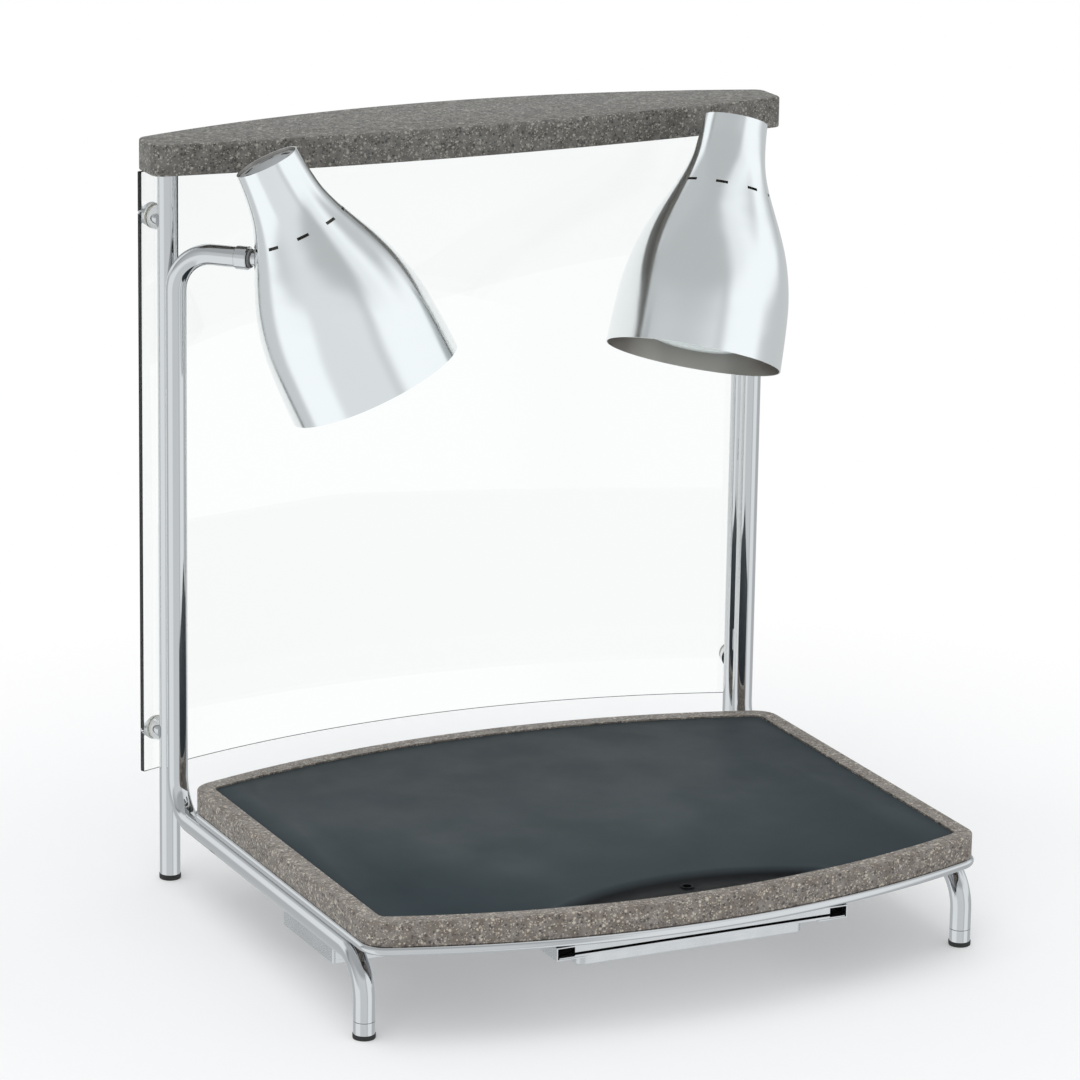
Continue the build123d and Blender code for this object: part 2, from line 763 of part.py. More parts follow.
lamps = (("left", -1, left_swivel, left_slot_turn), ("right", 1, right_swivel, right_slot_turn))
for side_name, side, swivel, slot_turn in lamps:
    frame, arm_dir = shade_plane(side, swivel)
    top = frame.offset(axis_from_top)
    section = Plane(top.origin, x_dir=top.x_dir, z_dir=top.y_dir * -1)
    shade_axis = Axis(top.origin, top.z_dir)
    arm_plane = Plane((side * leg_x, upright_y, arm_z), z_dir=arm_dir)

    # Spun shade with a ring of vent slots and a hole for the stem
    with BuildPart() as shade:
        with BuildSketch(section):
            with BuildLine():
                outside = Spline(*[(r, -drop) for drop, r in shade_outline])
                inside = Spline(*[(r - shade_wall, -drop) for drop, r in shade_outline])
                Line(outside @ 0, inside @ 0)
                Line(outside @ 1, inside @ 1)
            make_face()
        revolve(axis=shade_axis)
        with BuildSketch(frame.offset(axis_from_top - slot_at - slot_h / 2)):
            with PolarLocations(slot_reach, slot_n, start_angle=slot_turn):
                Rectangle(slot_reach, slot_len)
        extrude(amount=slot_h, mode=Mode.SUBTRACT)
        with BuildSketch(arm_plane.offset(arm_len)):
            Circle(stem_d / 2 + stem_fit)
        extrude(amount=axis_from_upright - arm_len, mode=Mode.SUBTRACT)
    save(shade, f"{side_name}_shade")

    # Vented cap, set into the top of the shade
    with BuildPart() as shade_cap:
        with BuildSketch(frame.offset(axis_from_top - cap_recess - cap_t)):
            Circle(shade_outline[0][1] - shade_wall - cap_gap)
            with PolarLocations(cap_slot_r, cap_slot_n):
                SlotOverall(cap_slot_len, cap_slot_w, rotation=90, mode=Mode.SUBTRACT)
        extrude(amount=cap_t)
    save(shade_cap, f"{side_name}_shade_cap")

    # Friction washer between arm and stem
    washer_start = arm_len + swivel_gap
    with BuildPart() as friction_washer:
        with BuildSketch(arm_plane.offset(washer_start)):
            Circle(friction_washer_d / 2)
            Circle(stem_d / 2 + stem_fit, mode=Mode.SUBTRACT)
        extrude(amount=friction_washer_t)
    save(friction_washer, f"{side_name}_friction_washer")

    # Bush in the arm's end, and the hollow stem that turns in it
    bush_start = arm_len - bush_len
    with BuildPart() as bush:
        with BuildSketch(arm_plane.offset(bush_start)):
            Circle(tube_d / 2 - tube_wall)
            Circle(stem_d / 2 + stem_fit, mode=Mode.SUBTRACT)
        extrude(amount=bush_len)
    save(bush, f"{side_name}_arm_bush")

    stem_start = bush_start - nut_gap - nut_t - 1
    shoulder_start = washer_start + friction_washer_t
    with BuildPart() as stem:
        with BuildSketch(arm_plane.offset(shoulder_start)):
            Circle(stem_shoulder_d / 2)
        extrude(amount=bracket_at - shoulder_start)
        revolve(inside_outline(section, 0), axis=shade_axis, mode=Mode.SUBTRACT)
        with BuildSketch(arm_plane.offset(stem_start)):
            Circle(stem_d / 2)
        extrude(amount=stem_end - stem_start)
        with BuildSketch(arm_plane.offset(stem_start)):
            Circle(stem_bore / 2)
        extrude(amount=stem_end - stem_start, mode=Mode.SUBTRACT)
    save(stem, f"{side_name}_stem")

    with BuildPart() as stem_nuts:
        for start in (bush_start - nut_gap - nut_t, bracket_at + bracket_t):
            with BuildSketch(arm_plane.offset(start)):
                RegularPolygon(nut_flats / 2, 6, major_radius=False)
                Circle(stem_d / 2, mode=Mode.SUBTRACT)
            extrude(amount=nut_t)
    save(stem_nuts, f"{side_name}_stem_nuts")

    # Hub inside the shade, shaped to its wall, that the nut clamps the bracket against
    with BuildPart() as hub:
        with BuildSketch(arm_plane.offset(arm_len)):
            Circle(hub_d / 2)
        extrude(amount=bracket_at - arm_len)
        revolve(inside_outline(section, shade_wall), axis=shade_axis, mode=Mode.INTERSECT)
        with BuildSketch(arm_plane.offset(arm_len)):
            Circle(stem_d / 2)
        extrude(amount=bracket_at - arm_len, mode=Mode.SUBTRACT)
    save(hub, f"{side_name}_shade_hub")

    # Bent bracket from the hub to the top of the lampholder
    foot = (arm_plane.offset(bracket_at + bracket_t / 2).origin - section.origin)
    foot = Vector(foot.dot(section.x_dir), foot.dot(section.y_dir))
    lean = Vector(sin(radians(shade_tilt)), cos(radians(shade_tilt)))
    bend_up = foot + lean * ((-holder_top + bracket_t / 2 - foot.Y) / lean.Y)
    with BuildPart() as bracket:
        with BuildSketch(section):
            with BuildLine() as bracket_line:
                FilletPolyline(foot - lean * (hub_d / 2), bend_up, (holder_d / 4, bend_up.Y), radius=4)
            trace(line_width=bracket_t)
        extrude(amount=bracket_w / 2, both=True)
        with BuildSketch(arm_plane.offset(arm_len)):
            Circle(stem_d / 2)
        extrude(amount=stem_end - arm_len, mode=Mode.SUBTRACT)
    save(bracket, f"{side_name}_holder_bracket")

    # Lampholder, with the socket open to the bulb
    holder_end = axis_from_top - holder_top - holder_len
    with BuildPart() as holder:
        with BuildSketch(frame.offset(holder_end)):
            Circle(holder_d / 2)
        extrude(amount=holder_len)
        fillet(holder.edges().filter_by(GeomType.CIRCLE), 2)
        with BuildSketch(frame.offset(holder_end)):
            Circle(holder_bore / 2)
        extrude(amount=holder_bore_len, mode=Mode.SUBTRACT)
    save(holder, f"{side_name}_lampholder")

    # Infra-red bulb: glass envelope and screw base
    glass_top = -(holder_top + holder_len)
    with BuildPart() as bulb:
        with BuildSketch(section):
            with BuildLine():
                Polyline((0, glass_top), (bulb_base_d / 2, glass_top), (bulb_neck_r, glass_top - 6))
                Spline((bulb_neck_r, glass_top - 6), (bulb_neck_r + 9, glass_top - 34),
                       (bulb_r - 10, glass_top - 76), (bulb_r, -bulb_face + 27),
                       (bulb_r - 12, -bulb_face + 7), (0, -bulb_face),
                       tangents=((0, -1), (-1, 0)))
                Line((0, -bulb_face), (0, glass_top))
            make_face()
        revolve(axis=shade_axis)
    save(bulb, f"{side_name}_bulb")

    with BuildPart() as bulb_base:
        with BuildSketch(frame.offset(holder_end)):
            Circle(bulb_base_d / 2)
        extrude(amount=holder_bore_len - bulb_base_gap)
    save(bulb_base, f"{side_name}_bulb_base")

# Cover screws
with BuildPart() as cover_screws:
    with BuildSketch(Plane.XY.offset(base_z - sheet)):
        with Locations(*screw_spots):
            Circle(screw_head_d / 2)
    extrude(amount=-screw_head_h)
    with BuildSketch(Plane.XY.offset(base_z - sheet)):
        with Locations(*screw_spots):
            Circle(screw_d / 2)
    extrude(amount=sheet + screw_grip)
save(cover_screws, "cover_screws")
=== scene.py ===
"""Looks of a heated carving station: chromed tubes, spun lamp shades, speckled stone and a clear guard.

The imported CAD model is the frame. Pieces that show from a step away are modelled again here with
smooth surfaces, in the frame's own axes, and every other CAD node is dressed in its finish.
Sizes are written in millimetres, and each mesh is scaled to metres when it is finished.
"""

import json
import logging
from dataclasses import dataclass, field
from enum import Enum
from math import atan2, cos, pi, radians, sin, sqrt

import bmesh
import bpy
from mathutils import Matrix, Vector

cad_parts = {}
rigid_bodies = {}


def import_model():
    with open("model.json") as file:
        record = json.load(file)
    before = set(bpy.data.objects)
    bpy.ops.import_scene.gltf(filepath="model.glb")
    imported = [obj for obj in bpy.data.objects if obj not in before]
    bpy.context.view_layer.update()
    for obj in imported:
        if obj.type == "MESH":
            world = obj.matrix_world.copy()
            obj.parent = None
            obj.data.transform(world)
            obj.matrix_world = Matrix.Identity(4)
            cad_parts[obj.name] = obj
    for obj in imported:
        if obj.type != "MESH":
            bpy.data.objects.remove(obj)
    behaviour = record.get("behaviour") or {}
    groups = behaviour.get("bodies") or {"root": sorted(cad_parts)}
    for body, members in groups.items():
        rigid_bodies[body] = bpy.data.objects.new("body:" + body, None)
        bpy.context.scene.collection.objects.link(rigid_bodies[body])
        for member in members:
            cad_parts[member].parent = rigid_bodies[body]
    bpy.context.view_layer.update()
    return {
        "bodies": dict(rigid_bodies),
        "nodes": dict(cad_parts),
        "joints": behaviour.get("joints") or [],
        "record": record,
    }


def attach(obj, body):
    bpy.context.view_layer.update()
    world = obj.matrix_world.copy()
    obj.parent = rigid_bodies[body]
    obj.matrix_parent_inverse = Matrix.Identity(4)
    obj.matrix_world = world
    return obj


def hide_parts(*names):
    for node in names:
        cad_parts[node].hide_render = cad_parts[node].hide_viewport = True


LOG = logging.getLogger("carving_station")
MM = 0.001
UP = Vector((0, 0, 1))
WHITE = (1.0, 1.0, 1.0, 1.0)
# Darker copy of the spun metal for the inside of the shades: painted shade in their hollows.
SHADED_INSIDE_ALUMINIUM = (0.48, 0.46, 0.43)
# Steps of the seven arcs of a bowed outline, in the order of BowedOutline.arcs, and of a straight side.
ARC_PARTS = (20, 10, 10, 40, 10, 10, 20)
SIDE_PARTS = 8
# Steps of a full turn on the lathe, unless a piece asks for more.
TURNED_PARTS = 48
# Largest difference in millimetres between two heights that count as level.
NEAR = 0.01
# Fold above which an edge counts as sharp and is rounded off.
SQUARE = radians(60)

Colour = tuple[float, float, float]
Profile = list[tuple[float, float]]


class Side(Enum):
    """The two sides of the stand, with the sign of their X."""

    LEFT = -1
    RIGHT = 1

    @property
    def word(self) -> str:
        """Name of the side, as CAD nodes spell it."""
        return self.name.lower()


class Body(Enum):
    """Bodies of the frame that carry pieces made here."""

    STAND = "stand"
    LEFT_LAMP = "left_lamp"
    RIGHT_LAMP = "right_lamp"


class Metal(Enum):
    """Bare metals of the hidden and turned pieces: colour and roughness."""

    STAINLESS = ((0.60, 0.61, 0.62), 0.28)
    ZINC = ((0.47, 0.48, 0.50), 0.42)
    BRASS = ((0.62, 0.48, 0.22), 0.30)
    FOIL = ((0.78, 0.78, 0.78), 0.25)
    SATIN_ALUMINIUM = ((0.58, 0.59, 0.60), 0.38)


class Plastic(Enum):
    """Moulded plastics and rubbers: colour and roughness."""

    BLACK = ((0.018, 0.018, 0.020), 0.42)
    GLOSS_BLACK = ((0.012, 0.012, 0.014), 0.18)
    RUBBER = ((0.014, 0.014, 0.014), 0.70)
    GREY_RUBBER = ((0.16, 0.16, 0.16), 0.60)
    BEARING = ((0.62, 0.61, 0.57), 0.50)
    CREAM = ((0.55, 0.48, 0.34), 0.45)
    PORCELAIN = ((0.78, 0.75, 0.69), 0.55)
    MINERAL_BOARD = ((0.58, 0.54, 0.44), 0.95)


class Shader:
    """A node material with one Principled surface, built up a node at a time."""

    def __init__(self, name: str) -> None:
        """Start an empty material.

        Args:
            name: Name of the material.
        """
        self.material = bpy.data.materials.new(name)
        self.material.use_nodes = True
        self.tree = self.material.node_tree
        self.surface = self.tree.nodes["Principled BSDF"]
        self.output = self.tree.nodes["Material Output"]

    def set(self, **values: object) -> "Shader":
        """Set sockets of the surface, named with underscores for spaces.

        Args:
            **values: Socket values; a three-part colour gets an alpha of 1.

        Returns:
            This shader, so that calls can follow each other.
        """
        for word, value in values.items():
            socket = self.surface.inputs[word.replace("_", " ")]
            socket.default_value = (*value, 1.0) if isinstance(value, tuple) and len(value) == 3 else value
        return self

    def node(self, kind: str, settings: dict[str, object] | None = None, **inputs: object) -> bpy.types.Node:
        """Add a node.

        Args:
            kind: Blender's type name of the node.
            settings: Properties of the node.
            **inputs: Input sockets by name, each a value or another node's output socket.

        Returns:
            The new node.
        """
        node = self.tree.nodes.new(kind)
        for word, value in (settings or {}).items():
            setattr(node, word, value)
        for word, value in inputs.items():
            socket = node.inputs[word.replace("_", " ")]
            if isinstance(value, bpy.types.NodeSocket):
                self.tree.links.new(value, socket)
            else:
                socket.default_value = value
        return node

    def place(self, scale: Colour = (1.0, 1.0, 1.0), turn: Colour = (0.0, 0.0, 0.0)) -> bpy.types.NodeSocket:
        """Object coordinates through a Mapping node.

        Args:
            scale: Scale along each axis.
            turn: Turn about each axis, in radians.

        Returns:
            The mapped vector.
        """
        where = self.node("ShaderNodeTexCoord").outputs["Object"]
        return self.node("ShaderNodeMapping", Vector=where, Scale=scale, Rotation=turn).outputs["Vector"]

    def noise(self, where: bpy.types.NodeSocket, scale: float = 1.0,
              detail: float = 3.0) -> bpy.types.NodeSocket:
        """Noise between 0 and 1.

        Args:
            where: Coordinates.
            scale: Waves a metre.
            detail: Octaves.

        Returns:
            The noise value.
        """
        return self.node("ShaderNodeTexNoise", Vector=where, Scale=scale, Detail=detail).outputs["Fac"]

    def remap(self, value: bpy.types.NodeSocket, low: float, high: float,
              start: float = 0.3, end: float = 0.7) -> bpy.types.NodeSocket:
        """Map a value from start..end to low..high, held at the ends.

        Args:
            value: Value to map.
            low: Result at start.
            high: Result at end.
            start: Where the change begins.
            end: Where it ends.

        Returns:
            The mapped value.
        """
        node = self.node("ShaderNodeMapRange", Value=value)
        for word, number in (("From Min", start), ("From Max", end), ("To Min", low), ("To Max", high)):
            node.inputs[word].default_value = number
        return node.outputs["Result"]

    def mix(self, share: bpy.types.NodeSocket, first: object, second: object) -> bpy.types.NodeSocket:
        """Mix two colours.

        Args:
            share: How much of the second.
            first: A colour or a colour socket.
            second: A colour or a colour socket.

        Returns:
            The mixed colour.
        """
        node = self.tree.nodes.new("ShaderNodeMix")
        node.data_type = "RGBA"
        self.tree.links.new(share, node.inputs["Factor"])
        for socket, value in ((node.inputs[6], first), (node.inputs[7], second)):
            if isinstance(value, bpy.types.NodeSocket):
                self.tree.links.new(value, socket)
            else:
                socket.default_value = (*value, 1.0)
        return node.outputs[2]

    def times(self, first: bpy.types.NodeSocket, second: bpy.types.NodeSocket) -> bpy.types.NodeSocket:
        """Multiply two values.

        Args:
            first: One value.
            second: The other value.

        Returns:
            Their product.
        """
        node = self.tree.nodes.new("ShaderNodeMath")
        node.operation = "MULTIPLY"
        self.tree.links.new(first, node.inputs[0])
        self.tree.links.new(second, node.inputs[1])
        return node.outputs[0]

    def cover(self, share: bpy.types.NodeSocket, layer: bpy.types.NodeSocket) -> None:
        """Lay another shader over the surface.

        Args:
            share: How much of the other shader shows.
            layer: The other shader.
        """
        mix = self.node("ShaderNodeMixShader")
        self.tree.links.new(share, mix.inputs[0])
        self.tree.links.new(self.surface.outputs["BSDF"], mix.inputs[1])
        self.tree.links.new(layer, mix.inputs[2])
        self.tree.links.new(mix.outputs[0], self.output.inputs["Surface"])

    def bump(self, height: bpy.types.NodeSocket, depth: float, strength: float = 0.35) -> "Shader":
        """Give the surface a bump.

        Args:
            height: Height from 0 to 1.
            depth: Depth of the bump in metres.
            strength: How strongly it shows.

        Returns:
            This shader.
        """
        node = self.node("ShaderNodeBump", Height=height, Distance=depth, Strength=strength)
        return self.feed("Normal", node.outputs["Normal"])

    def feed(self, word: str, value: bpy.types.NodeSocket) -> "Shader":
        """Link a value to a socket of the surface.

        Args:
            word: Name of the socket.
            value: What feeds it.

        Returns:
            This shader.
        """
        self.tree.links.new(value, self.surface.inputs[word])
        return self


@dataclass(frozen=True)
class ChromePlate:
    """Bright chrome with a trace of handling haze."""

    colour: Colour = (0.60, 0.61, 0.62)
    clear: float = 0.035
    hazy: float = 0.085
    haze_waves: float = 22.0
    ripple_waves: float = 55.0
    ripple_depth: float = 0.00004

    def make(self) -> bpy.types.Material:
        """Build the material.

        Returns:
            The material.
        """
        shader = Shader("chrome_plate").set(Base_Color=self.colour, Metallic=1.0)
        where = shader.place()
        haze = shader.noise(where, self.haze_waves, 4.0)
        shader.feed("Roughness", shader.remap(haze, self.clear, self.hazy))
        return shader.bump(shader.noise(where, self.ripple_waves, 2.0), self.ripple_depth, 0.25).material


@dataclass(frozen=True)
class SpunMetal:
    """Spun aluminium: polished, with faint turning lines round its axis."""

    name: str
    axis: tuple[float, float, float]
    colour: Colour = (0.82, 0.845, 0.85)
    roughness: float = 0.17
    line_depth: float = 0.000002
    stretch: float = 0.7
    line_scale: Colour = (2.0, 2.0, 900.0)
    band_scale: Colour = (4.0, 4.0, 60.0)

    def make(self) -> bpy.types.Material:
        """Build the material.

        Returns:
            The material.
        """
        turn = Vector(self.axis).rotation_difference(UP).to_euler()
        shader = Shader(self.name).set(Base_Color=self.colour, Metallic=1.0, Anisotropic=self.stretch)
        along = shader.node("ShaderNodeTangent", {"direction_type": "UV_MAP", "uv_map": "spun"})
        shader.feed("Tangent", along.outputs["Tangent"])
        lines = shader.noise(shader.place(self.line_scale, tuple(turn)))
        bands = shader.noise(shader.place(self.band_scale, tuple(turn)))
        shader.feed("Roughness", shader.remap(bands, self.roughness * 0.9, self.roughness * 1.15))
        return shader.bump(lines, self.line_depth).material


@dataclass(frozen=True)
class SpeckledStone:
    """Engineered stone: a warm ground with pale and dark chips of three sizes."""

    name: str
    ground: Colour
    shade: Colour
    pale: Colour
    dark: Colour
    roughness: float = 0.42
    cloud_waves: float = 90.0
    chips: tuple[Colour, ...] = ((260.0, 0.85, 0.20), (420.0, 0.83, 0.18), (700.0, 0.84, 0.14))
    chip_core: float = 0.22
    chip_edge: float = 0.62
    tooth_waves: float = 700.0
    tooth_depth: float = 0.00012

    def make(self) -> bpy.types.Material:
        """Build the material.

        Returns:
            The material.
        """
        shader = Shader(self.name).set(Specular_IOR_Level=0.45)
        where = shader.place()
        cloud = shader.remap(shader.noise(where, self.cloud_waves, 5.0), 0.0, 1.0, 0.35, 0.65)
        colour = shader.mix(cloud, self.ground, self.shade)
        for scale, pale_from, dark_to in self.chips:
            cells = shader.node("ShaderNodeTexVoronoi", Vector=where, Scale=scale, Randomness=1.0)
            lot = shader.node("ShaderNodeSeparateColor", Color=cells.outputs["Color"]).outputs["Red"]
            inside = shader.remap(cells.outputs["Distance"], 0.85, 0.0, self.chip_core, self.chip_edge)
            dark = shader.times(shader.remap(lot, 1.0, 0.0, dark_to - 0.05, dark_to), inside)
            pale = shader.times(shader.remap(lot, 0.0, 1.0, pale_from, pale_from + 0.06), inside)
            colour = shader.mix(dark, colour, self.dark)
            colour = shader.mix(pale, colour, self.pale)
        shader.feed("Base Color", colour)
        polish = shader.noise(where, self.chips[0][0])
        shader.feed("Roughness", shader.remap(polish, self.roughness - 0.08, self.roughness + 0.12))
        return shader.bump(shader.noise(where, self.tooth_waves), self.tooth_depth).material


@dataclass(frozen=True)
class PlateCoat:
    """Dark satin coat of the heated plate, with painted shade that darkens it down in its well."""

    colour: Colour = (0.034, 0.046, 0.052)
    worn: Colour = (0.040, 0.053, 0.060)
    # Painted shade: near-black, fading in from the well's rim height down to its floor height.
    deep: Colour = (0.004, 0.005, 0.006)
    rim_height: float = 0.1262
    floor_height: float = 0.1232
    roughness: float = 0.5
    wear_waves: float = 9.0
    sheen_waves: float = 14.0
    tooth_waves: float = 1500.0
    tooth_depth: float = 0.00004

    def make(self) -> bpy.types.Material:
        """Build the material.

        Returns:
            The material.
        """
        shader = Shader("plate_coat").set(Specular_IOR_Level=0.06)
        where = shader.place()
        height = shader.node("ShaderNodeSeparateXYZ", Vector=where).outputs["Z"]
        wear = shader.remap(shader.noise(where, self.wear_waves, 4.0), 0.0, 1.0)
        # Painted shade: the coat is mixed towards near-black lower down in the well.
        depth = shader.remap(height, 1.0, 0.0, self.floor_height, self.rim_height)
        shader.feed("Base Color", shader.mix(depth, shader.mix(wear, self.colour, self.worn), self.deep))
        sheen = shader.noise(where, self.sheen_waves, 5.0)
        shader.feed("Roughness", shader.remap(sheen, self.roughness - 0.04, self.roughness + 0.06))
        return shader.bump(shader.noise(where, self.tooth_waves, 2.0), self.tooth_depth, 0.3).material


@dataclass(frozen=True)
class BareMetal:
    """Plain sheet or turned metal with a fine grain."""

    metal: Metal
    cloud_waves: float = 30.0
    grain_scale: Colour = (40.0, 900.0, 900.0)
    grain_depth: float = 0.00003

    def make(self) -> bpy.types.Material:
        """Build the material.

        Returns:
            The material.
        """
        colour, roughness = self.metal.value
        shader = Shader(self.metal.name.lower()).set(Metallic=1.0)
        grain = shader.noise(shader.place(self.grain_scale))
        cloud = shader.remap(shader.noise(shader.place(), self.cloud_waves, 4.0), 0.0, 1.0)
        dull = tuple(part * 0.9 for part in colour)
        shader.feed("Base Color", shader.mix(cloud, colour, dull))
        shader.feed("Roughness", shader.remap(grain, roughness - 0.06, roughness + 0.08))
        return shader.bump(grain, self.grain_depth, 0.3).material


@dataclass(frozen=True)
class Moulding:
    """Moulded plastic, rubber, ceramic or board with a fine tooth."""

    plastic: Plastic
    cloud_waves: float = 60.0
    sheen_waves: float = 300.0
    tooth_waves: float = 1800.0
    tooth_depth: float = 0.00005

    def make(self) -> bpy.types.Material:
        """Build the material.

        Returns:
            The material.
        """
        colour, roughness = self.plastic.value
        shader = Shader(self.plastic.name.lower())
        where = shader.place()
        light = tuple(min(1.0, part * 1.25) for part in colour)
        cloud = shader.remap(shader.noise(where, self.cloud_waves), 0.0, 1.0)
        shader.feed("Base Color", shader.mix(cloud, colour, light))
        sheen = shader.noise(where, self.sheen_waves)
        shader.feed("Roughness", shader.remap(sheen, roughness - 0.05, roughness + 0.05))
        return shader.bump(shader.noise(where, self.tooth_waves, 2.0), self.tooth_depth).material


@dataclass(frozen=True)
class ClearGlass:
    """Clear glass that lets light through to what stands behind it."""

    name: str = "guard_glass"
    colour: Colour = (0.97, 0.99, 0.985)
    roughness: float = 0.0

    def make(self) -> bpy.types.Material:
        """Build the material.

        Returns:
            The material.
        """
        shader = Shader(self.name).set(Base_Color=self.colour, Transmission_Weight=1.0, IOR=1.45,
                                       Roughness=self.roughness)
        shadow = shader.node("ShaderNodeLightPath").outputs["Is Shadow Ray"]
        clear = shader.node("ShaderNodeBsdfTransparent", Color=(*self.colour, 1.0)).outputs["BSDF"]
        shader.cover(shadow, clear)
        return shader.material


@dataclass(frozen=True)
class BulbGlass:
    """Frosted face of an infra-red reflector bulb, its white glass tinted teal-grey as painted reflection."""

    # Teal-grey painted reflection in place of the white frosted glass; the frost noise between the two tones
    # is real.
    colour: Colour = (0.62, 0.74, 0.74)
    pale: Colour = (0.74, 0.82, 0.81)
    frost_waves: float = 18.0
    sheen_waves: float = 240.0

    def make(self) -> bpy.types.Material:
        """Build the material.

        Returns:
            The material.
        """
        shader = Shader("bulb_glass").set(Coat_Weight=0.6, Coat_Roughness=0.08)
        where = shader.place()
        frost = shader.remap(shader.noise(where, self.frost_waves), 0.0, 1.0)
        shader.feed("Base Color", shader.mix(frost, self.colour, self.pale))
        shader.feed("Roughness", shader.remap(shader.noise(where, self.sheen_waves, 2.0), 0.25, 0.38))
        return shader.material


@dataclass(frozen=True)
class LampLens:
    """Amber lens of the pilot light."""

    colour: Colour = (0.80, 0.26, 0.03)
    cloud_waves: float = 400.0
    sheen_waves: float = 200.0

    def make(self) -> bpy.types.Material:
        """Build the material.

        Returns:
            The material.
        """
        shader = Shader("pilot_lens").set(Coat_Weight=0.5)
        where = shader.place()
        deep = tuple(part * 0.8 for part in self.colour)
        shader.feed("Base Color", shader.mix(shader.noise(where, self.cloud_waves, 2.0), self.colour, deep))
        shader.feed("Roughness", shader.remap(shader.noise(where, self.sheen_waves, 2.0), 0.18, 0.28))
        return shader.material


class Workshop:
    """Turns, bends and finishes meshes that are drawn in millimetres."""

    @staticmethod
    def ring(mesh: bmesh.types.BMesh, centre: Vector, facing: Vector, radius: float, parts: int) -> list:
        """Draw a wire circle.

        Args:
            mesh: Mesh to draw in.
            centre: Centre of the circle.
            facing: Direction square to it.
            radius: Radius.
            parts: Number of edges.

        Returns:
            Its vertices and edges.
        """
        place = Matrix.Translation(centre) @ UP.rotation_difference(facing).to_matrix().to_4x4()
        verts = bmesh.ops.create_circle(mesh, segments=parts, radius=radius, matrix=place)["verts"]
        return verts + list({edge for vert in verts for edge in vert.link_edges})

    @staticmethod
    def go(mesh: bmesh.types.BMesh, geom: list, step: Vector, parts: int = 1) -> list:
        """Draw geometry straight along a step and return its end."""
        return bmesh.ops.spin(mesh, geom=geom, cent=(0, 0, 0), axis=UP, angle=0.0, dvec=step / parts,
                              steps=parts)["geom_last"]

    @staticmethod
    def bend(mesh: bmesh.types.BMesh, geom: list, centre: Vector, axis: Vector, angle: float,
             parts: int) -> list:
        """Draw geometry round a bend.

        Args:
            mesh: Mesh to draw in.
            geom: Vertices and edges to carry round.
            centre: Centre of the bend.
            axis: Axis of the bend.
            angle: Turn in radians.
            parts: Number of steps.

        Returns:
            The geometry at the bend's end.
        """
        return bmesh.ops.spin(mesh, geom=geom, cent=centre, axis=axis, angle=angle, steps=parts)["geom_last"]

    @staticmethod
    def turned(mesh: bmesh.types.BMesh, base: Vector, axis: Vector, profile: Profile,
               parts: int = TURNED_PARTS, start: Vector | None = None) -> None:
        """Turn a profile round an axis, as on a lathe.

        Args:
            mesh: Mesh to draw in.
            base: Point of the axis at height 0.
            axis: Direction of the axis.
            profile: Radius and height of each corner, in order.
            parts: Steps round the axis.
            start: Direction in which the profile is first drawn.
        """
        axis = axis.normalized()
        out = (start or axis.orthogonal()).normalized()
        verts = [mesh.verts.new(base + out * radius + axis * height) for radius, height in profile]
        edges = [mesh.edges.new(pair) for pair in zip(verts, verts[1:])]
        bmesh.ops.spin(mesh, geom=verts + edges, cent=base, axis=axis, angle=2 * pi, steps=parts,
                       use_merge=True)

    @staticmethod
    def draw_out(mesh: bmesh.types.BMesh, faces: list, rise: float) -> list:
        """Extrude faces straight up, or down for a negative rise.

        Args:
            mesh: Mesh to work on.
            faces: Faces to extrude.
            rise: How far they go up.

        Returns:
            The faces at the far end.
        """
        geom = bmesh.ops.extrude_face_region(mesh, geom=faces)["geom"]
        verts = [part for part in geom if isinstance(part, bmesh.types.BMVert)]
        bmesh.ops.translate(mesh, verts=verts, vec=UP * rise)
        return [part for part in geom if isinstance(part, bmesh.types.BMFace)]

    @staticmethod
    def cap(mesh: bmesh.types.BMesh) -> None:
        """Close every open loop of the mesh with a face."""
        bmesh.ops.holes_fill(mesh, edges=[edge for edge in mesh.edges if edge.is_boundary], sides=0)

    @staticmethod
    def soften(mesh: bmesh.types.BMesh, edges: list, width: float, parts: int = 3) -> None:
        """Round edges off.

        Args:
            mesh: Mesh to work on.
            edges: Edges to round.
            width: Width of the rounding.
            parts: Segments of the rounding.
        """
        bmesh.ops.bevel(mesh, geom=edges, offset=width, offset_type="OFFSET", segments=parts, profile=0.5,
                        affect="EDGES", clamp_overlap=True, material=-1)

    @staticmethod
    def finish(name: str, mesh: bmesh.types.BMesh, body: Body, slot: str, materials: list[bpy.types.Material],
               replaces: list[str], crease: float = 32.0) -> bpy.types.Object:
        """Make a finished piece of a mesh drawn in millimetres.

        Args:
            name: Name of the piece.
            mesh: The mesh, which is used up.
            body: Body that it rides on.
            slot: Material slot of the record; not used.
            materials: Its materials.
            replaces: CAD nodes that it stands for.
            crease: Angle in degrees above which an edge stays sharp.

        Returns:
            The new object.
        """
        bmesh.ops.remove_doubles(mesh, verts=mesh.verts, dist=0.002)
        bmesh.ops.dissolve_degenerate(mesh, edges=mesh.edges, dist=0.001)
        bmesh.ops.recalc_face_normals(mesh, faces=mesh.faces)
        bmesh.ops.scale(mesh, vec=(MM, MM, MM), verts=mesh.verts)
        data = bpy.data.meshes.new(name)
        mesh.to_mesh(data)
        mesh.free()
        data.shade_smooth()
        data.set_sharp_from_angle(angle=radians(crease))
        piece = bpy.data.objects.new(name, data)
        bpy.context.scene.collection.objects.link(piece)
        for material in materials:
            data.materials.append(material)
        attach(piece, body.value)
        if replaces:
            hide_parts(*replaces)
        LOG.info("%s: %d faces, rides on %s", name, len(data.polygons), body.value)
        return piece


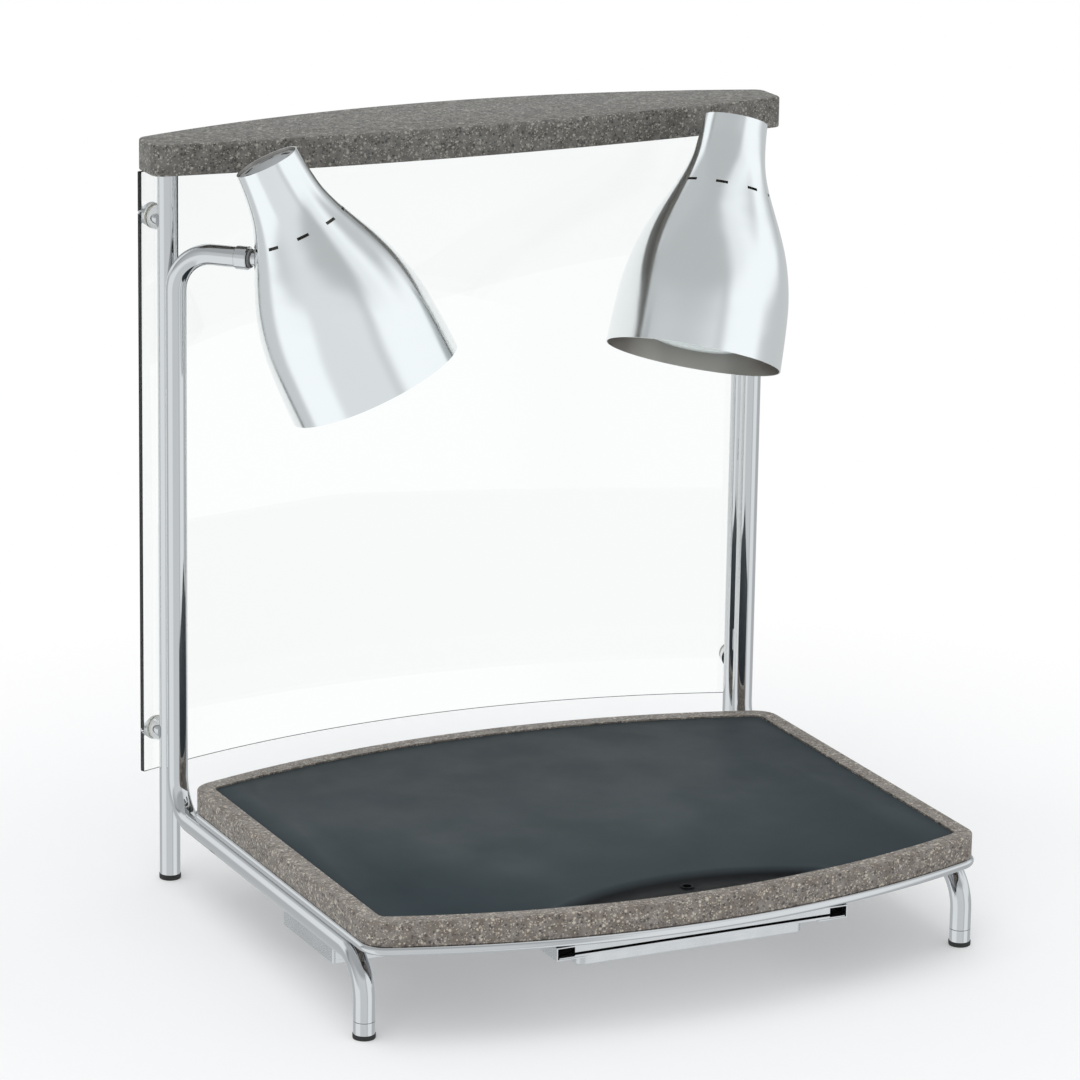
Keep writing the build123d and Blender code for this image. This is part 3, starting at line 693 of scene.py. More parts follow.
@dataclass
class BowedOutline:
    """Outline with straight sides, bowed front and back, and round corners."""

    half: float
    front: float
    front_bow: float
    rear: float
    rear_bow: float
    corner: float

    def arcs(self) -> list[tuple[Vector, float]]:
        """Centres and turns of the outline's arcs, from the middle of the front towards +X.

        Returns:
            Each arc's centre and its turn in radians.
        """
        front_r = (self.half ** 2 + self.front_bow ** 2) / (2 * self.front_bow)
        rear_r = (self.half ** 2 + self.rear_bow ** 2) / (2 * self.rear_bow)
        front_c = self.front - self.front_bow + front_r
        rear_c = self.rear + self.rear_bow - rear_r
        reach = self.half - self.corner
        front_y = front_c - sqrt((front_r - self.corner) ** 2 - reach ** 2)
        rear_y = rear_c + sqrt((rear_r - self.corner) ** 2 - reach ** 2)
        front_a = atan2(reach, front_c - front_y)
        rear_a = atan2(reach, rear_y - rear_c)
        return [
            (Vector((0, front_c, 0)), front_a), (Vector((reach, front_y, 0)), pi / 2 - front_a),
            (Vector((reach, rear_y, 0)), pi / 2 - rear_a), (Vector((0, rear_c, 0)), 2 * rear_a),
            (Vector((-reach, rear_y, 0)), pi / 2 - rear_a), (Vector((-reach, front_y, 0)), pi / 2 - front_a),
            (Vector((0, front_c, 0)), front_a),
        ]

    def draw(self, mesh: bmesh.types.BMesh, geom: list) -> None:
        """Carry geometry once round the outline, from where it stands at the middle of the front.

        Args:
            mesh: Mesh to draw in.
            geom: Vertices and edges to carry.
        """
        arcs = self.arcs()
        side = arcs[2][0].y - arcs[1][0].y
        for number, ((centre, angle), steps) in enumerate(zip(arcs, ARC_PARTS)):
            geom = Workshop.bend(mesh, geom, centre, UP, angle, steps)
            if number == 1:
                geom = Workshop.go(mesh, geom, Vector((0, side, 0)), SIDE_PARTS)
            if number == 4:
                geom = Workshop.go(mesh, geom, Vector((0, -side, 0)), SIDE_PARTS)
        bmesh.ops.remove_doubles(mesh, verts=mesh.verts, dist=0.01)

    def start(self, inset: float, height: float) -> Vector:
        """Middle of the front, drawn in by inset, at a height."""
        return Vector((0, self.front - self.front_bow + inset, height))

    def face(self, mesh: bmesh.types.BMesh, height: float) -> bmesh.types.BMFace:
        """Draw a flat face of the outline.

        Args:
            mesh: Empty mesh to draw in.
            height: Height of the face.

        Returns:
            The face.
        """
        self.draw(mesh, [mesh.verts.new(self.start(0.0, height))])
        return bmesh.ops.contextual_create(mesh, geom=list(mesh.edges))["faces"][0]


BASE = BowedOutline(half=346.0, front=-278.0, front_bow=64.6, rear=183.0, rear_bow=61.0, corner=28.0)
CANOPY = BowedOutline(half=367.0, front=231.0, front_bow=24.2, rear=279.7, rear_bow=65.7, corner=12.0)


@dataclass
class Stand:
    """Chromed tube frame: bent tubes, posts, rail, collars and feet."""

    tube_d: float = 22.2
    bend_r: float = 42.0
    leg_x: float = 340.5
    leg_y: float = -258.0
    upright_y: float = 238.0
    post_y: float = 260.5
    side_rail_z: float = 81.6
    foot_z: float = 19.0
    arm_z: float = 696.5
    arm_angle: float = 47.0
    arm_len: float = 84.0
    post_foot: float = 6.0
    post_top: float = 777.4
    rod_d: float = 9.5
    rod_inset: float = 2.0
    rod_z: float = 97.75
    rod_parts: int = 24
    collar_d: float = 24.8
    collar_len: float = 14.0
    collar_edge: float = 0.8
    pad_d: float = 23.4
    pad_h: float = 5.0
    ferrule_h: float = 14.0
    ferrule_edge: float = 0.7
    cap_h: float = 6.0
    plug_r: float = 9.5
    plug_len: float = 22.0
    bend_parts: int = 24
    round_parts: int = 56

    def arm_way(self, side: Side) -> Vector:
        """Direction of a lamp arm, away from its upright."""
        turn = radians(self.arm_angle)
        return Vector((-side.value * cos(turn), -sin(turn), 0))

    def arm_root(self, side: Side) -> Vector:
        """Where the lines of upright and arm cross."""
        return Vector((side.value * self.leg_x, self.upright_y, self.arm_z))

    def bent_tube(self, side: Side, chrome: bpy.types.Material) -> None:
        """Bend one frame tube, from its foot to the end of its arm.

        Args:
            side: Side of the stand.
            chrome: Finish.
        """
        mesh = bmesh.new()
        x, r = side.value * self.leg_x, self.bend_r
        way, quarter, parts = self.arm_way(side), pi / 2, self.bend_parts
        end = Workshop.ring(mesh, Vector((x, self.leg_y, self.foot_z)), UP, self.tube_d / 2, self.round_parts)
        end = Workshop.go(mesh, end, UP * (self.side_rail_z - r - self.foot_z))
        end = Workshop.bend(mesh, end, Vector((x, self.leg_y + r, self.side_rail_z - r)), Vector((-1, 0, 0)),
                            quarter, parts)
        end = Workshop.go(mesh, end, Vector((0, self.upright_y - self.leg_y - 2 * r, 0)))
        end = Workshop.bend(mesh, end, Vector((x, self.upright_y - r, self.side_rail_z + r)),
                            Vector((1, 0, 0)), quarter, parts)
        end = Workshop.go(mesh, end, UP * (self.arm_z - self.side_rail_z - 2 * r))
        end = Workshop.bend(mesh, end, self.arm_root(side) - UP * r + way * r, UP.cross(way), quarter, parts)
        Workshop.go(mesh, end, way * (self.arm_len - r))
        Workshop.cap(mesh)
        Workshop.finish(f"{side.word}_bent_tube", mesh, Body.STAND, "chromed_tube", [chrome],
                        [f"{side.word}_frame_tube"])

    def rail(self, chrome: bpy.types.Material) -> None:
        """Bend the round bar that follows the edge of the base.

        Args:
            chrome: Finish.
        """
        mesh = bmesh.new()
        start = BASE.start(self.rod_inset, self.rod_z)
        BASE.draw(mesh, Workshop.ring(mesh, start, Vector((1, 0, 0)), self.rod_d / 2, self.rod_parts))
        Workshop.finish("bent_edge_rail", mesh, Body.STAND, "chromed_tube", [chrome], ["edge_rail"], 60.0)

    def posts(self, chrome: bpy.types.Material) -> None:
        """Cut the straight posts and turn the collars of the arms.

        Args:
            chrome: Finish.
        """
        r, c, edge = self.tube_d / 2, self.collar_d / 2, self.collar_edge
        for side in Side:
            mesh = bmesh.new()
            foot = Vector((side.value * self.leg_x, self.post_y, 0))
            Workshop.turned(mesh, foot, UP, [(0, self.post_foot), (r, self.post_foot), (r, self.post_top),
                                             (0, self.post_top)], self.round_parts)
            Workshop.finish(f"{side.word}_straight_post", mesh, Body.STAND, "chromed_tube", [chrome],
                            [f"{side.word}_post"])
            mesh = bmesh.new()
            start, end = self.arm_len - self.collar_len, self.arm_len
            Workshop.turned(mesh, self.arm_root(side), self.arm_way(side),
                            [(r - 0.1, start), (c - edge, start), (c, start + edge), (c, end - edge),
                             (c - edge, end), (r - 1.5, end)], self.round_parts)
            Workshop.cap(mesh)
            Workshop.finish(f"{side.word}_turned_collar", mesh, Body.STAND, "chromed_tube", [chrome],
                            [f"{side.word}_arm_collar"])

    def feet(self, chrome: bpy.types.Material, rubber: bpy.types.Material) -> None:
        """Turn the ferrules, pads and caps of the feet.

        Args:
            chrome: Finish of the ferrules.
            rubber: Finish of the pads and caps.
        """
        ferrules, pads, caps = bmesh.new(), bmesh.new(), bmesh.new()
        r, p, plug, edge = self.tube_d / 2, self.pad_d / 2, self.plug_r, self.ferrule_edge
        rounded = [(0, 0), (p - 1.2, 0), (p - 0.35, 0.35), (p, 1.2)]
        top = self.pad_h + self.ferrule_h
        for side in Side:
            leg = Vector((side.value * self.leg_x, self.leg_y, 0))
            post = Vector((side.value * self.leg_x, self.post_y, 0))
            Workshop.turned(ferrules, leg, UP, [
                (0, self.pad_h), (r, self.pad_h), (r, top - 0.8), (r - edge, top - 0.4), (r - edge, top),
                (plug, top), (plug, top + self.plug_len), (0, top + self.plug_len)], self.round_parts)
            Workshop.turned(pads, leg, UP, [*rounded, (p, self.pad_h), (0, self.pad_h)])
            Workshop.turned(caps, post, UP, [
                *rounded, (p, self.cap_h - 0.6), (p - 0.6, self.cap_h), (plug, self.cap_h),
                (plug, self.cap_h + self.plug_len), (0, self.cap_h + self.plug_len)])
        Workshop.finish("turned_ferrules", ferrules, Body.STAND, "chromed_tube", [chrome],
                        ["front_foot_ferrules"])
        Workshop.finish("front_pads", pads, Body.STAND, "black_rubber", [rubber], ["front_foot_pads"])
        Workshop.finish("rear_caps", caps, Body.STAND, "black_rubber", [rubber], ["rear_foot_caps"])

    def build(self, chrome: bpy.types.Material, rubber: bpy.types.Material) -> None:
        """Build the whole stand.

        Args:
            chrome: Finish of the plated pieces.
            rubber: Finish of the feet.
        """
        for side in Side:
            self.bent_tube(side, chrome)
        self.rail(chrome)
        self.posts(chrome)
        self.feet(chrome, rubber)


@dataclass
class Slabs:
    """Stone base and canopy, and the heated plate."""

    base_z: float = 102.5
    base_t: float = 25.4
    base_edge: float = 2.0
    border: float = 19.0
    recess: float = 1.5
    plate_t: float = 6.4
    ledge: float = 26.0
    canopy_z: float = 777.4
    canopy_t: float = 33.2
    canopy_edge: float = 2.5

    @staticmethod
    def rim(mesh: bmesh.types.BMesh, height: float) -> list:
        """Sharp edges of the outer rim at a height, without the rims of a pocket.

        Args:
            mesh: Mesh to look in.
            height: Height of the rim.

        Returns:
            The edges.
        """
        flat = {edge for edge in mesh.edges if all(abs(vert.co.z - height) < NEAR for vert in edge.verts)
                and edge.calc_face_angle(0.0) > SQUARE}
        far = max(vert.co.x for vert in mesh.verts)
        todo = [edge for edge in flat if all(vert.co.x > far - NEAR for vert in edge.verts)]
        found = set(todo)
        while todo:
            for vert in todo.pop().verts:
                for other in vert.link_edges:
                    if other in flat and other not in found:
                        found.add(other)
                        todo.append(other)
        return [edge for edge in mesh.edges if edge in found]

    def base(self, stone: bpy.types.Material) -> None:
        """Cut the base with its stepped opening for the plate.

        Args:
            stone: Finish.
        """
        mesh = bmesh.new()
        seat = self.recess + self.plate_t
        faces = Workshop.draw_out(mesh, [BASE.face(mesh, self.base_z)], self.base_t)
        for inset, drop in ((self.border, seat), (self.ledge, self.base_t - seat)):
            bmesh.ops.inset_region(mesh, faces=faces, thickness=inset, use_even_offset=True)
            sunk = Workshop.draw_out(mesh, faces, -drop)
            bmesh.ops.delete(mesh, geom=faces, context="FACES_ONLY")
            faces = sunk
        bottom = [face for face in mesh.faces if face not in faces and
                  all(abs(vert.co.z - self.base_z) < NEAR for vert in face.verts)]
        bmesh.ops.delete(mesh, geom=faces + bottom, context="FACES_ONLY")
        bmesh.ops.bridge_loops(mesh, edges=[edge for edge in mesh.edges if edge.is_boundary])
        self.soften_rims(mesh, self.base_z, self.base_t, self.base_edge)
        Workshop.finish("stone_slab_base", mesh, Body.STAND, "base_stone", [stone], ["stone_base"])

    def soften_rims(self, mesh: bmesh.types.BMesh, bottom: float, thick: float, width: float) -> None:
        """Round the upper rim of a slab and ease its lower one.

        Args:
            mesh: The slab.
            bottom: Height of its underside.
            thick: Its thickness.
            width: Width of the upper rounding.
        """
        bmesh.ops.recalc_face_normals(mesh, faces=mesh.faces)
        Workshop.soften(mesh, self.rim(mesh, bottom + thick), width, 4)
        Workshop.soften(mesh, self.rim(mesh, bottom), width / 2, 2)

    def canopy(self, stone: bpy.types.Material) -> None:
        """Cut the canopy slab.

        Args:
            stone: Finish.
        """
        mesh = bmesh.new()
        Workshop.draw_out(mesh, [CANOPY.face(mesh, self.canopy_z)], self.canopy_t)
        self.soften_rims(mesh, self.canopy_z, self.canopy_t, self.canopy_edge)
        Workshop.finish("stone_slab_canopy", mesh, Body.STAND, "canopy_stone", [stone], ["canopy"])

    def build(self, frame: dict, base_stone: bpy.types.Material, canopy_stone: bpy.types.Material,
              coat: bpy.types.Material) -> None:
        """Build both slabs, and smooth the plate, so that its dished well has soft edges.

        Args:
            frame: The loaded frame.
            base_stone: Finish of the base.
            canopy_stone: Finish of the canopy.
            coat: Finish of the plate.
        """
        self.base(base_stone)
        self.canopy(canopy_stone)
        smooth_copy(frame, "heated_plate", "coated_plate", Body.STAND, "plate_surface", coat, 24.0)


def smooth_copy(frame: dict, node: str, name: str, body: Body, slot: str, material: bpy.types.Material,
                crease: float) -> bpy.types.Object:
    """Copy a CAD node with its loose triangles merged and its curved faces smooth.

    Args:
        frame: The loaded frame.
        node: CAD node to copy.
        name: Name of the piece.
        body: Body that it rides on.
        slot: Material slot of the record.
        material: Finish.
        crease: Angle in degrees above which an edge stays sharp.

    Returns:
        The new object.
    """
    mesh = bmesh.new()
    mesh.from_mesh(frame["nodes"][node].data)
    for layer in list(mesh.loops.layers.uv):
        mesh.loops.layers.uv.remove(layer)
    bmesh.ops.scale(mesh, vec=(1 / MM, 1 / MM, 1 / MM), verts=mesh.verts)
    bmesh.ops.remove_doubles(mesh, verts=mesh.verts, dist=0.01)
    for face in mesh.faces:
        face.material_index = 0
    return Workshop.finish(name, mesh, body, slot, [material], [node], crease)


@dataclass
class Guard:
    """Curved clear guard with its stand-offs, washers and buttons."""

    stand: Stand
    half: float = 366.0
    end_y: float = 270.5
    bow: float = 67.0
    thick: float = 6.0
    low: float = 120.0
    high: float = 775.4
    edge: float = 0.9
    parts: int = 120
    heights: tuple[float, float] = (166.0, 725.0)
    standoff_r: float = 13.0
    standoff_edge: float = 0.6
    bore_r: float = 3.2
    bolt_r: float = 3.0
    washer: float = 1.0
    washer_gap: float = 0.05
    button: float = 4.0

    @property
    def radius(self) -> float:
        """Radius of the guard's front face."""
        return (self.half ** 2 + self.bow ** 2) / (2 * self.bow)

    @property
    def centre(self) -> Vector:
        """Centre of the guard's curve."""
        return Vector((0, self.end_y + self.bow - self.radius, 0))

    def sheet(self, glass: bpy.types.Material) -> None:
        """Bend the guard from a flat edge.

        Args:
            glass: Finish.
        """
        mesh = bmesh.new()
        turn = atan2(self.half, sqrt(self.radius ** 2 - self.half ** 2))
        out = Vector((sin(turn), cos(turn), 0))
        corners = ((0, self.low), (self.thick, self.low), (self.thick, self.high), (0, self.high))
        verts = [mesh.verts.new(self.centre + out * (self.radius + more) + UP * height)
                 for more, height in corners]
        Workshop.bend(mesh, [mesh.faces.new(verts)], self.centre, UP, 2 * turn, self.parts)
        if any(edge.is_boundary for edge in mesh.edges):
            Workshop.cap(mesh)
        bmesh.ops.recalc_face_normals(mesh, faces=mesh.faces)
        sharp = [edge for edge in mesh.edges if edge.calc_face_angle(0.0) > SQUARE]
        Workshop.soften(mesh, sharp, self.edge, 2)
        Workshop.finish("bent_guard", mesh, Body.STAND, "guard_glass", [glass], ["curved_guard"])

    def fixings(self, chrome: bpy.types.Material, nylon: bpy.types.Material) -> None:
        """Turn the stand-offs, washers and bolts with their buttons.

        Args:
            chrome: Finish of the metal pieces.
            nylon: Finish of the washers.
        """
        spacers, washers, bolts = bmesh.new(), bmesh.new(), bmesh.new()
        r, w, bore, edge = self.standoff_r, self.washer, self.bore_r, self.standoff_edge
        back = -w - r ** 2 / 2 / self.radius - self.washer_gap
        front = self.thick + self.washer_gap
        seat, top = front + w, front + w + self.button
        for side in Side:
            post = Vector((side.value * self.stand.leg_x, self.stand.post_y, 0))
            way = (post - self.centre).normalized()
            reach = self.radius - (post - self.centre).length
            inner = 4.0 - reach
            for height in self.heights:
                face = self.centre + way * self.radius + UP * height
                Workshop.turned(spacers, face, way, [(bore, inner), (r, inner), (r, back - edge),
                                                     (r - edge, back), (bore, back), (bore, inner)])
                for start in (back, front):
                    Workshop.turned(washers, face, way, [(bore, start), (r, start), (r, start + w),
                                                         (bore, start + w), (bore, start)])
                Workshop.turned(bolts, face, way, [
                    (0, -reach), (self.bolt_r, -reach), (self.bolt_r, seat), (r, seat), (r, top - 1.5),
                    (r - 0.4, top - 0.5), (r - 1.5, top), (0, top)])
        Workshop.finish("turned_standoffs", spacers, Body.STAND, "chromed_tube", [chrome],
                        ["guard_standoffs"])
        Workshop.finish("nylon_washers", washers, Body.STAND, "bearing_plastic", [nylon],
                        ["guard_washers"])
        Workshop.finish("button_bolts", bolts, Body.STAND, "chromed_tube", [chrome], ["guard_bolts"])

    def build(self, glass: bpy.types.Material, chrome: bpy.types.Material, nylon: bpy.types.Material) -> None:
        """Build the guard and what holds it.

        Args:
            glass: Finish of the sheet.
            chrome: Finish of the stand-offs and bolts.
            nylon: Finish of the washers.
        """
        self.sheet(glass)
        self.fixings(chrome, nylon)


@dataclass
class Lamp:
    """Infra-red lamp on its swivel stem: spun shade, cap, lampholder and bulb."""

    side: Side
    swivel: float
    slot_turn: float
    stand: Stand
    tilt: float = 23.1
    reach: float = 160.2
    above: float = 120.2
    wall: float = 1.2
    outline: tuple[tuple[float, float], ...] = (
        (0, 34.0), (23, 36.0), (48, 40.3), (69, 47.4), (91, 57.5), (115, 68.9),
        (139, 78.6), (165, 86.0), (191, 90.5), (223, 92.8), (259, 94.2))
    slots: int = 9
    slot_at: float = 76.5
    slot_h: float = 3.0
    slot_parts: int = 11
    parts: int = 270
    bulb_r: float = 63.5
    bulb_face: float = 250.0
    base_r: float = 13.2
    base_top: float = 80.0
    base_end: float = 106.0
    thread_depth: float = 0.7
    thread_step: float = 1.7
    holder_r: float = 20.0
    holder_top: float = 60.0
    stem_r: float = 6.0
    stem_bore_r: float = 4.0
    stem_start: float = 62.9
    stem_end: float = 116.0
    shoulder_r: float = 7.5
    shoulder_end: float = 98.8
    washer_r: float = 10.0
    washer_t: float = 2.6
    swivel_gap: float = 0.2

    def __post_init__(self) -> None:
        """Work out the lamp's axes from its swivel."""
        turn, lean = radians(self.swivel), radians(self.tilt)
        self.arm = self.stand.arm_way(self.side)
        across = self.arm.cross(UP) * self.side.value
        hang = -UP * cos(turn) + across * sin(turn)
        self.mouth = self.arm * sin(lean) + hang * cos(lean)
        self.inward = self.arm * cos(lean) - hang * sin(lean)
        self.root = self.stand.arm_root(self.side)
        self.top = self.root + self.arm * self.reach - self.mouth * self.above
        self.body = Body.LEFT_LAMP if self.side is Side.LEFT else Body.RIGHT_LAMP

    def curve(self, step: float = 4.0) -> Profile:
        """Smooth outline of the shade.

        Args:
            step: Drop from one point to the next.

        Returns:
            Radius and drop from the top rim of each point.
        """
        drops = [drop for drop, _ in self.outline]
        radii = [radius for _, radius in self.outline]
        around = [(max(i - 1, 0), min(i + 1, len(drops) - 1)) for i in range(len(drops))]
        slope = [(radii[after] - radii[before]) / (drops[after] - drops[before]) for before, after in around]
        end = drops[-1]
        wanted = {0.0, end, self.slot_at - self.slot_h / 2, self.slot_at + self.slot_h / 2}
        wanted |= {step * n for n in range(1, int(end / step)) if abs(step * n - self.slot_at) > self.slot_h}
        points: Profile = []
        for drop in sorted(wanted):
            i = max(n for n in range(len(drops) - 1) if drops[n] <= drop)
            span = drops[i + 1] - drops[i]
            t = (drop - drops[i]) / span
            radius = ((2 * t ** 3 - 3 * t ** 2 + 1) * radii[i] + (t ** 3 - 2 * t ** 2 + t) * span * slope[i]
                      + (3 * t ** 2 - 2 * t ** 3) * radii[i + 1] + (t ** 3 - t ** 2) * span * slope[i + 1])
            points.append((radius, drop))
        return points

    def shade(self, outside: bpy.types.Material, inside: bpy.types.Material) -> None:
        """Spin the shade, pierce its vent slots and give it its wall.

        Args:
            outside: Polished finish.
            inside: Finish of the inner face, a darker copy of the spun metal as painted shade.
        """
        mesh = bmesh.new()
        edge = radians(self.slot_turn) - pi / self.parts * self.slot_parts
        start = Matrix.Rotation(-edge, 3, self.mouth) @ self.inward
        Workshop.turned(mesh, self.top, self.mouth, self.curve(), self.parts, start)
        pierced = []
        for face in mesh.faces:
            spot = face.calc_center_median() - self.top
            drop = spot.dot(self.mouth)
            if abs(drop - self.slot_at) > self.slot_h / 2:
                continue
            flat = spot - self.mouth * drop
            angle = atan2(flat.dot(self.inward.cross(self.mouth)), flat.dot(self.inward))
            off = ((angle - radians(self.slot_turn)) / (2 * pi / self.slots) + 0.5) % 1.0 - 0.5
            if abs(off) * self.parts / self.slots < self.slot_parts / 2:
                pierced.append(face)
        bmesh.ops.delete(mesh, geom=pierced, context="FACES")
        bmesh.ops.recalc_face_normals(mesh, faces=mesh.faces)
        sample = max(mesh.faces, key=lambda face: (face.calc_center_median() - self.top).dot(self.mouth))
        spot = sample.calc_center_median() - self.top
        if sample.normal.dot(spot - self.mouth * spot.dot(self.mouth)) < 0:
            bmesh.ops.reverse_faces(mesh, faces=mesh.faces)
        bmesh.ops.solidify(mesh, geom=list(mesh.faces), thickness=self.wall)
        mesh.normal_update()
        for face in mesh.faces:
            spot = face.calc_center_median() - self.top
            flat = spot - self.mouth * spot.dot(self.mouth)
            # Faces that look inwards take the darker inner finish, which is painted shade.
            face.material_index = 1 if face.normal.dot(flat.normalized()) < -0.3 else 0
        self.unroll(mesh)
        Workshop.finish(f"{self.side.word}_spun_shade", mesh, self.body, "polished_aluminium",
                        [outside, inside], [f"{self.side.word}_shade"], 40.0)

    def unroll(self, mesh: bmesh.types.BMesh) -> None:
        """Give the shade UVs that run down it in U and round it in V, for the turning lines' sheen.

        Args:
            mesh: The shade.
        """
        layer = mesh.loops.layers.uv.new("spun")
        ahead = self.inward.cross(self.mouth)
        for face in mesh.faces:
            middle = face.calc_center_median() - self.top
            first = atan2(middle.dot(ahead), middle.dot(self.inward))
            for loop in face.loops:
                spot = loop.vert.co - self.top
                turn = atan2(spot.dot(ahead), spot.dot(self.inward))
                turn += 2 * pi * round((first - turn) / (2 * pi))
                loop[layer].uv = (spot.dot(self.mouth) / self.outline[-1][0], turn / (2 * pi))

    def bulb(self, glass: bpy.types.Material, brass: bpy.types.Material) -> None:
        """Blow the bulb and roll its screw base.

        Args:
            glass: Finish of the envelope.
            brass: Finish of the base.
        """
        face, r, base, end = self.bulb_face, self.bulb_r, self.base_r, self.base_end
        profile = [(0, end), (base, end), (17, 112), (18.5, 119), (20.6, 127), (25, 139), (32, 152),
                   (40, 164), (48, 175.5), (54.5, 187), (59.5, 199), (62.5, 211), (r, 222), (62.8, 230),
                   (60, 236.5), (55, 241.5), (48, 244.8), (38, 247.4), (26, 249), (13, face - 0.2), (0, face)]
        mesh = bmesh.new()
        Workshop.turned(mesh, self.top, self.mouth, profile, 72)
        Workshop.finish(f"{self.side.word}_blown_bulb", mesh, self.body, "bulb_glass", [glass],
                        [f"{self.side.word}_bulb"], 70.0)
        mesh = bmesh.new()
        thread = [(base - self.thread_depth * (n % 2), self.base_top + self.thread_step * n)
                  for n in range(14)]
        tip = self.base_top - 3.0
        Workshop.turned(mesh, self.top, self.mouth, [(0, tip), (9.5, tip), (12.3, tip + 2.0), *thread,
                                                     (base, end), (0, end)])
        Workshop.finish(f"{self.side.word}_screw_base", mesh, self.body, "brass_cap", [brass],
                        [f"{self.side.word}_bulb_base"], 70.0)

    def fittings(self, chrome: bpy.types.Material, rubber: bpy.types.Material,
                 ceramic: bpy.types.Material) -> None:
        """Turn the stem, its friction washer and the lampholder.

        Args:
            chrome: Finish of the stem.
            rubber: Finish of the friction washer.
            ceramic: Finish of the lampholder.
        """
        word, arm = self.side.word, self.stand.arm_len
        near = arm + self.swivel_gap
        far = near + self.washer_t
        r, bore, shoulder = self.stem_r, self.stem_bore_r, self.shoulder_r
        mesh = bmesh.new()
        Workshop.turned(mesh, self.root, self.arm, [
            (bore, self.stem_start), (r, self.stem_start), (r, far), (shoulder, far),
            (shoulder, self.shoulder_end), (r, self.shoulder_end), (r, self.stem_end), (bore, self.stem_end),
            (bore, self.stem_start)])
        Workshop.finish(f"{word}_swivel_stem", mesh, self.body, "chromed_tube", [chrome], [f"{word}_stem"])
        mesh = bmesh.new()
        eye, rim = r + 0.1, self.washer_r
        Workshop.turned(mesh, self.root, self.arm, [
            (eye, near), (rim - 0.4, near), (rim, near + 0.4), (rim, far - 0.4), (rim - 0.4, far), (eye, far),
            (eye, near)])
        Workshop.finish(f"{word}_swivel_washer", mesh, self.body, "black_rubber", [rubber],
                        [f"{word}_friction_washer"])
        mesh = bmesh.new()
        r, top, end = self.holder_r, self.holder_top, self.base_end
        Workshop.turned(mesh, self.top, self.mouth, [
            (0, top), (r - 2, top), (r, top + 2), (r, end - 22), (r - 1.4, end - 20), (r - 1.4, end - 14),
            (r, end - 12), (r, end - 2), (r - 2, end), (13.5, end), (13.5, top + 16), (0, top + 16)], 56)
        Workshop.finish(f"{word}_ceramic_holder", mesh, self.body, "porcelain", [ceramic],
                        [f"{word}_lampholder"])

    def build(self, finishes: "Finishes", frame: dict) -> None:
        """Build the lamp.

        Args:
            finishes: All materials.
            frame: The loaded frame.
        """
        word = self.side.word
        outside = SpunMetal(f"{word}_spun_outside", tuple(self.mouth)).make()
        # The inside is the same spun metal made darker: painted shade.
        inside = SpunMetal(f"{word}_spun_inside", tuple(self.mouth), colour=SHADED_INSIDE_ALUMINIUM,
                           roughness=0.34).make()
        self.shade(outside, inside)
        self.bulb(finishes.bulb, finishes.metal[Metal.BRASS])
        self.fittings(finishes.chrome, finishes.plastic[Plastic.GREY_RUBBER],
                      finishes.plastic[Plastic.PORCELAIN])
        for node, name in (("shade_cap", "vented_cap"), ("shade_hub", "wall_hub")):
            smooth_copy(frame, f"{word}_{node}", f"{word}_{name}", self.body, "cap_aluminium",
                        finishes.metal[Metal.SATIN_ALUMINIUM], 32.0)


@dataclass
class Finishes:
    """Every material of the station, made once."""

    chrome: bpy.types.Material = field(init=False)
    base_stone: bpy.types.Material = field(init=False)
    canopy_stone: bpy.types.Material = field(init=False)
    coat: bpy.types.Material = field(init=False)
    guard: bpy.types.Material = field(init=False)
    bulb: bpy.types.Material = field(init=False)
    lens: bpy.types.Material = field(init=False)
    metal: dict = field(default_factory=dict)
    plastic: dict = field(default_factory=dict)

    def __post_init__(self) -> None:
        """Make the materials."""
        self.chrome = ChromePlate().make()
        self.base_stone = SpeckledStone("base_stone", ground=(0.158, 0.130, 0.108),
                                        shade=(0.240, 0.216, 0.192), pale=(0.60, 0.54, 0.45),
                                        dark=(0.048, 0.043, 0.041)).make()
        self.canopy_stone = SpeckledStone("canopy_stone", ground=(0.108, 0.100, 0.088),
                                          shade=(0.185, 0.175, 0.160), pale=(0.42, 0.40, 0.35),
                                          dark=(0.030, 0.029, 0.029)).make()
        self.coat = PlateCoat().make()
        self.guard = ClearGlass().make()
        self.bulb = BulbGlass().make()
        self.lens = LampLens().make()
        self.metal = {metal: BareMetal(metal).make() for metal in Metal}
        self.plastic = {plastic: Moulding(plastic).make() for plastic in Plastic}

    def dress(self, frame: dict) -> None:
        """Dress every CAD node by its material slot in the record.

        Args:
            frame: The loaded frame.
        """
        by_slot = {
            "chromed_tube": self.chrome, "polished_aluminium": self.metal[Metal.SATIN_ALUMINIUM],
            "cap_aluminium": self.metal[Metal.SATIN_ALUMINIUM], "base_stone": self.base_stone,
            "canopy_stone": self.canopy_stone, "plate_surface": self.coat,
            "stainless": self.metal[Metal.STAINLESS], "sheet_steel": self.metal[Metal.ZINC],
            "guard_glass": self.guard, "black_rubber": self.plastic[Plastic.RUBBER],
            "bearing_plastic": self.plastic[Plastic.BEARING], "black_plastic": self.plastic[Plastic.BLACK],
            "rocker_plastic": self.plastic[Plastic.GLOSS_BLACK], "cream_plastic": self.plastic[Plastic.CREAM],
            "pilot_lens": self.lens, "heater_foil": self.metal[Metal.FOIL],
            "insulation": self.plastic[Plastic.MINERAL_BOARD], "porcelain": self.plastic[Plastic.PORCELAIN],
            "bulb_glass": self.bulb, "brass_cap": self.metal[Metal.BRASS],
        }
        for entry in frame["record"]["subparts"]:
            node = frame["nodes"][entry["node"]]
            if not node.material_slots:
                node.data.materials.append(None)
            for place in node.material_slots:
                place.material = by_slot[entry["material_slot"]]


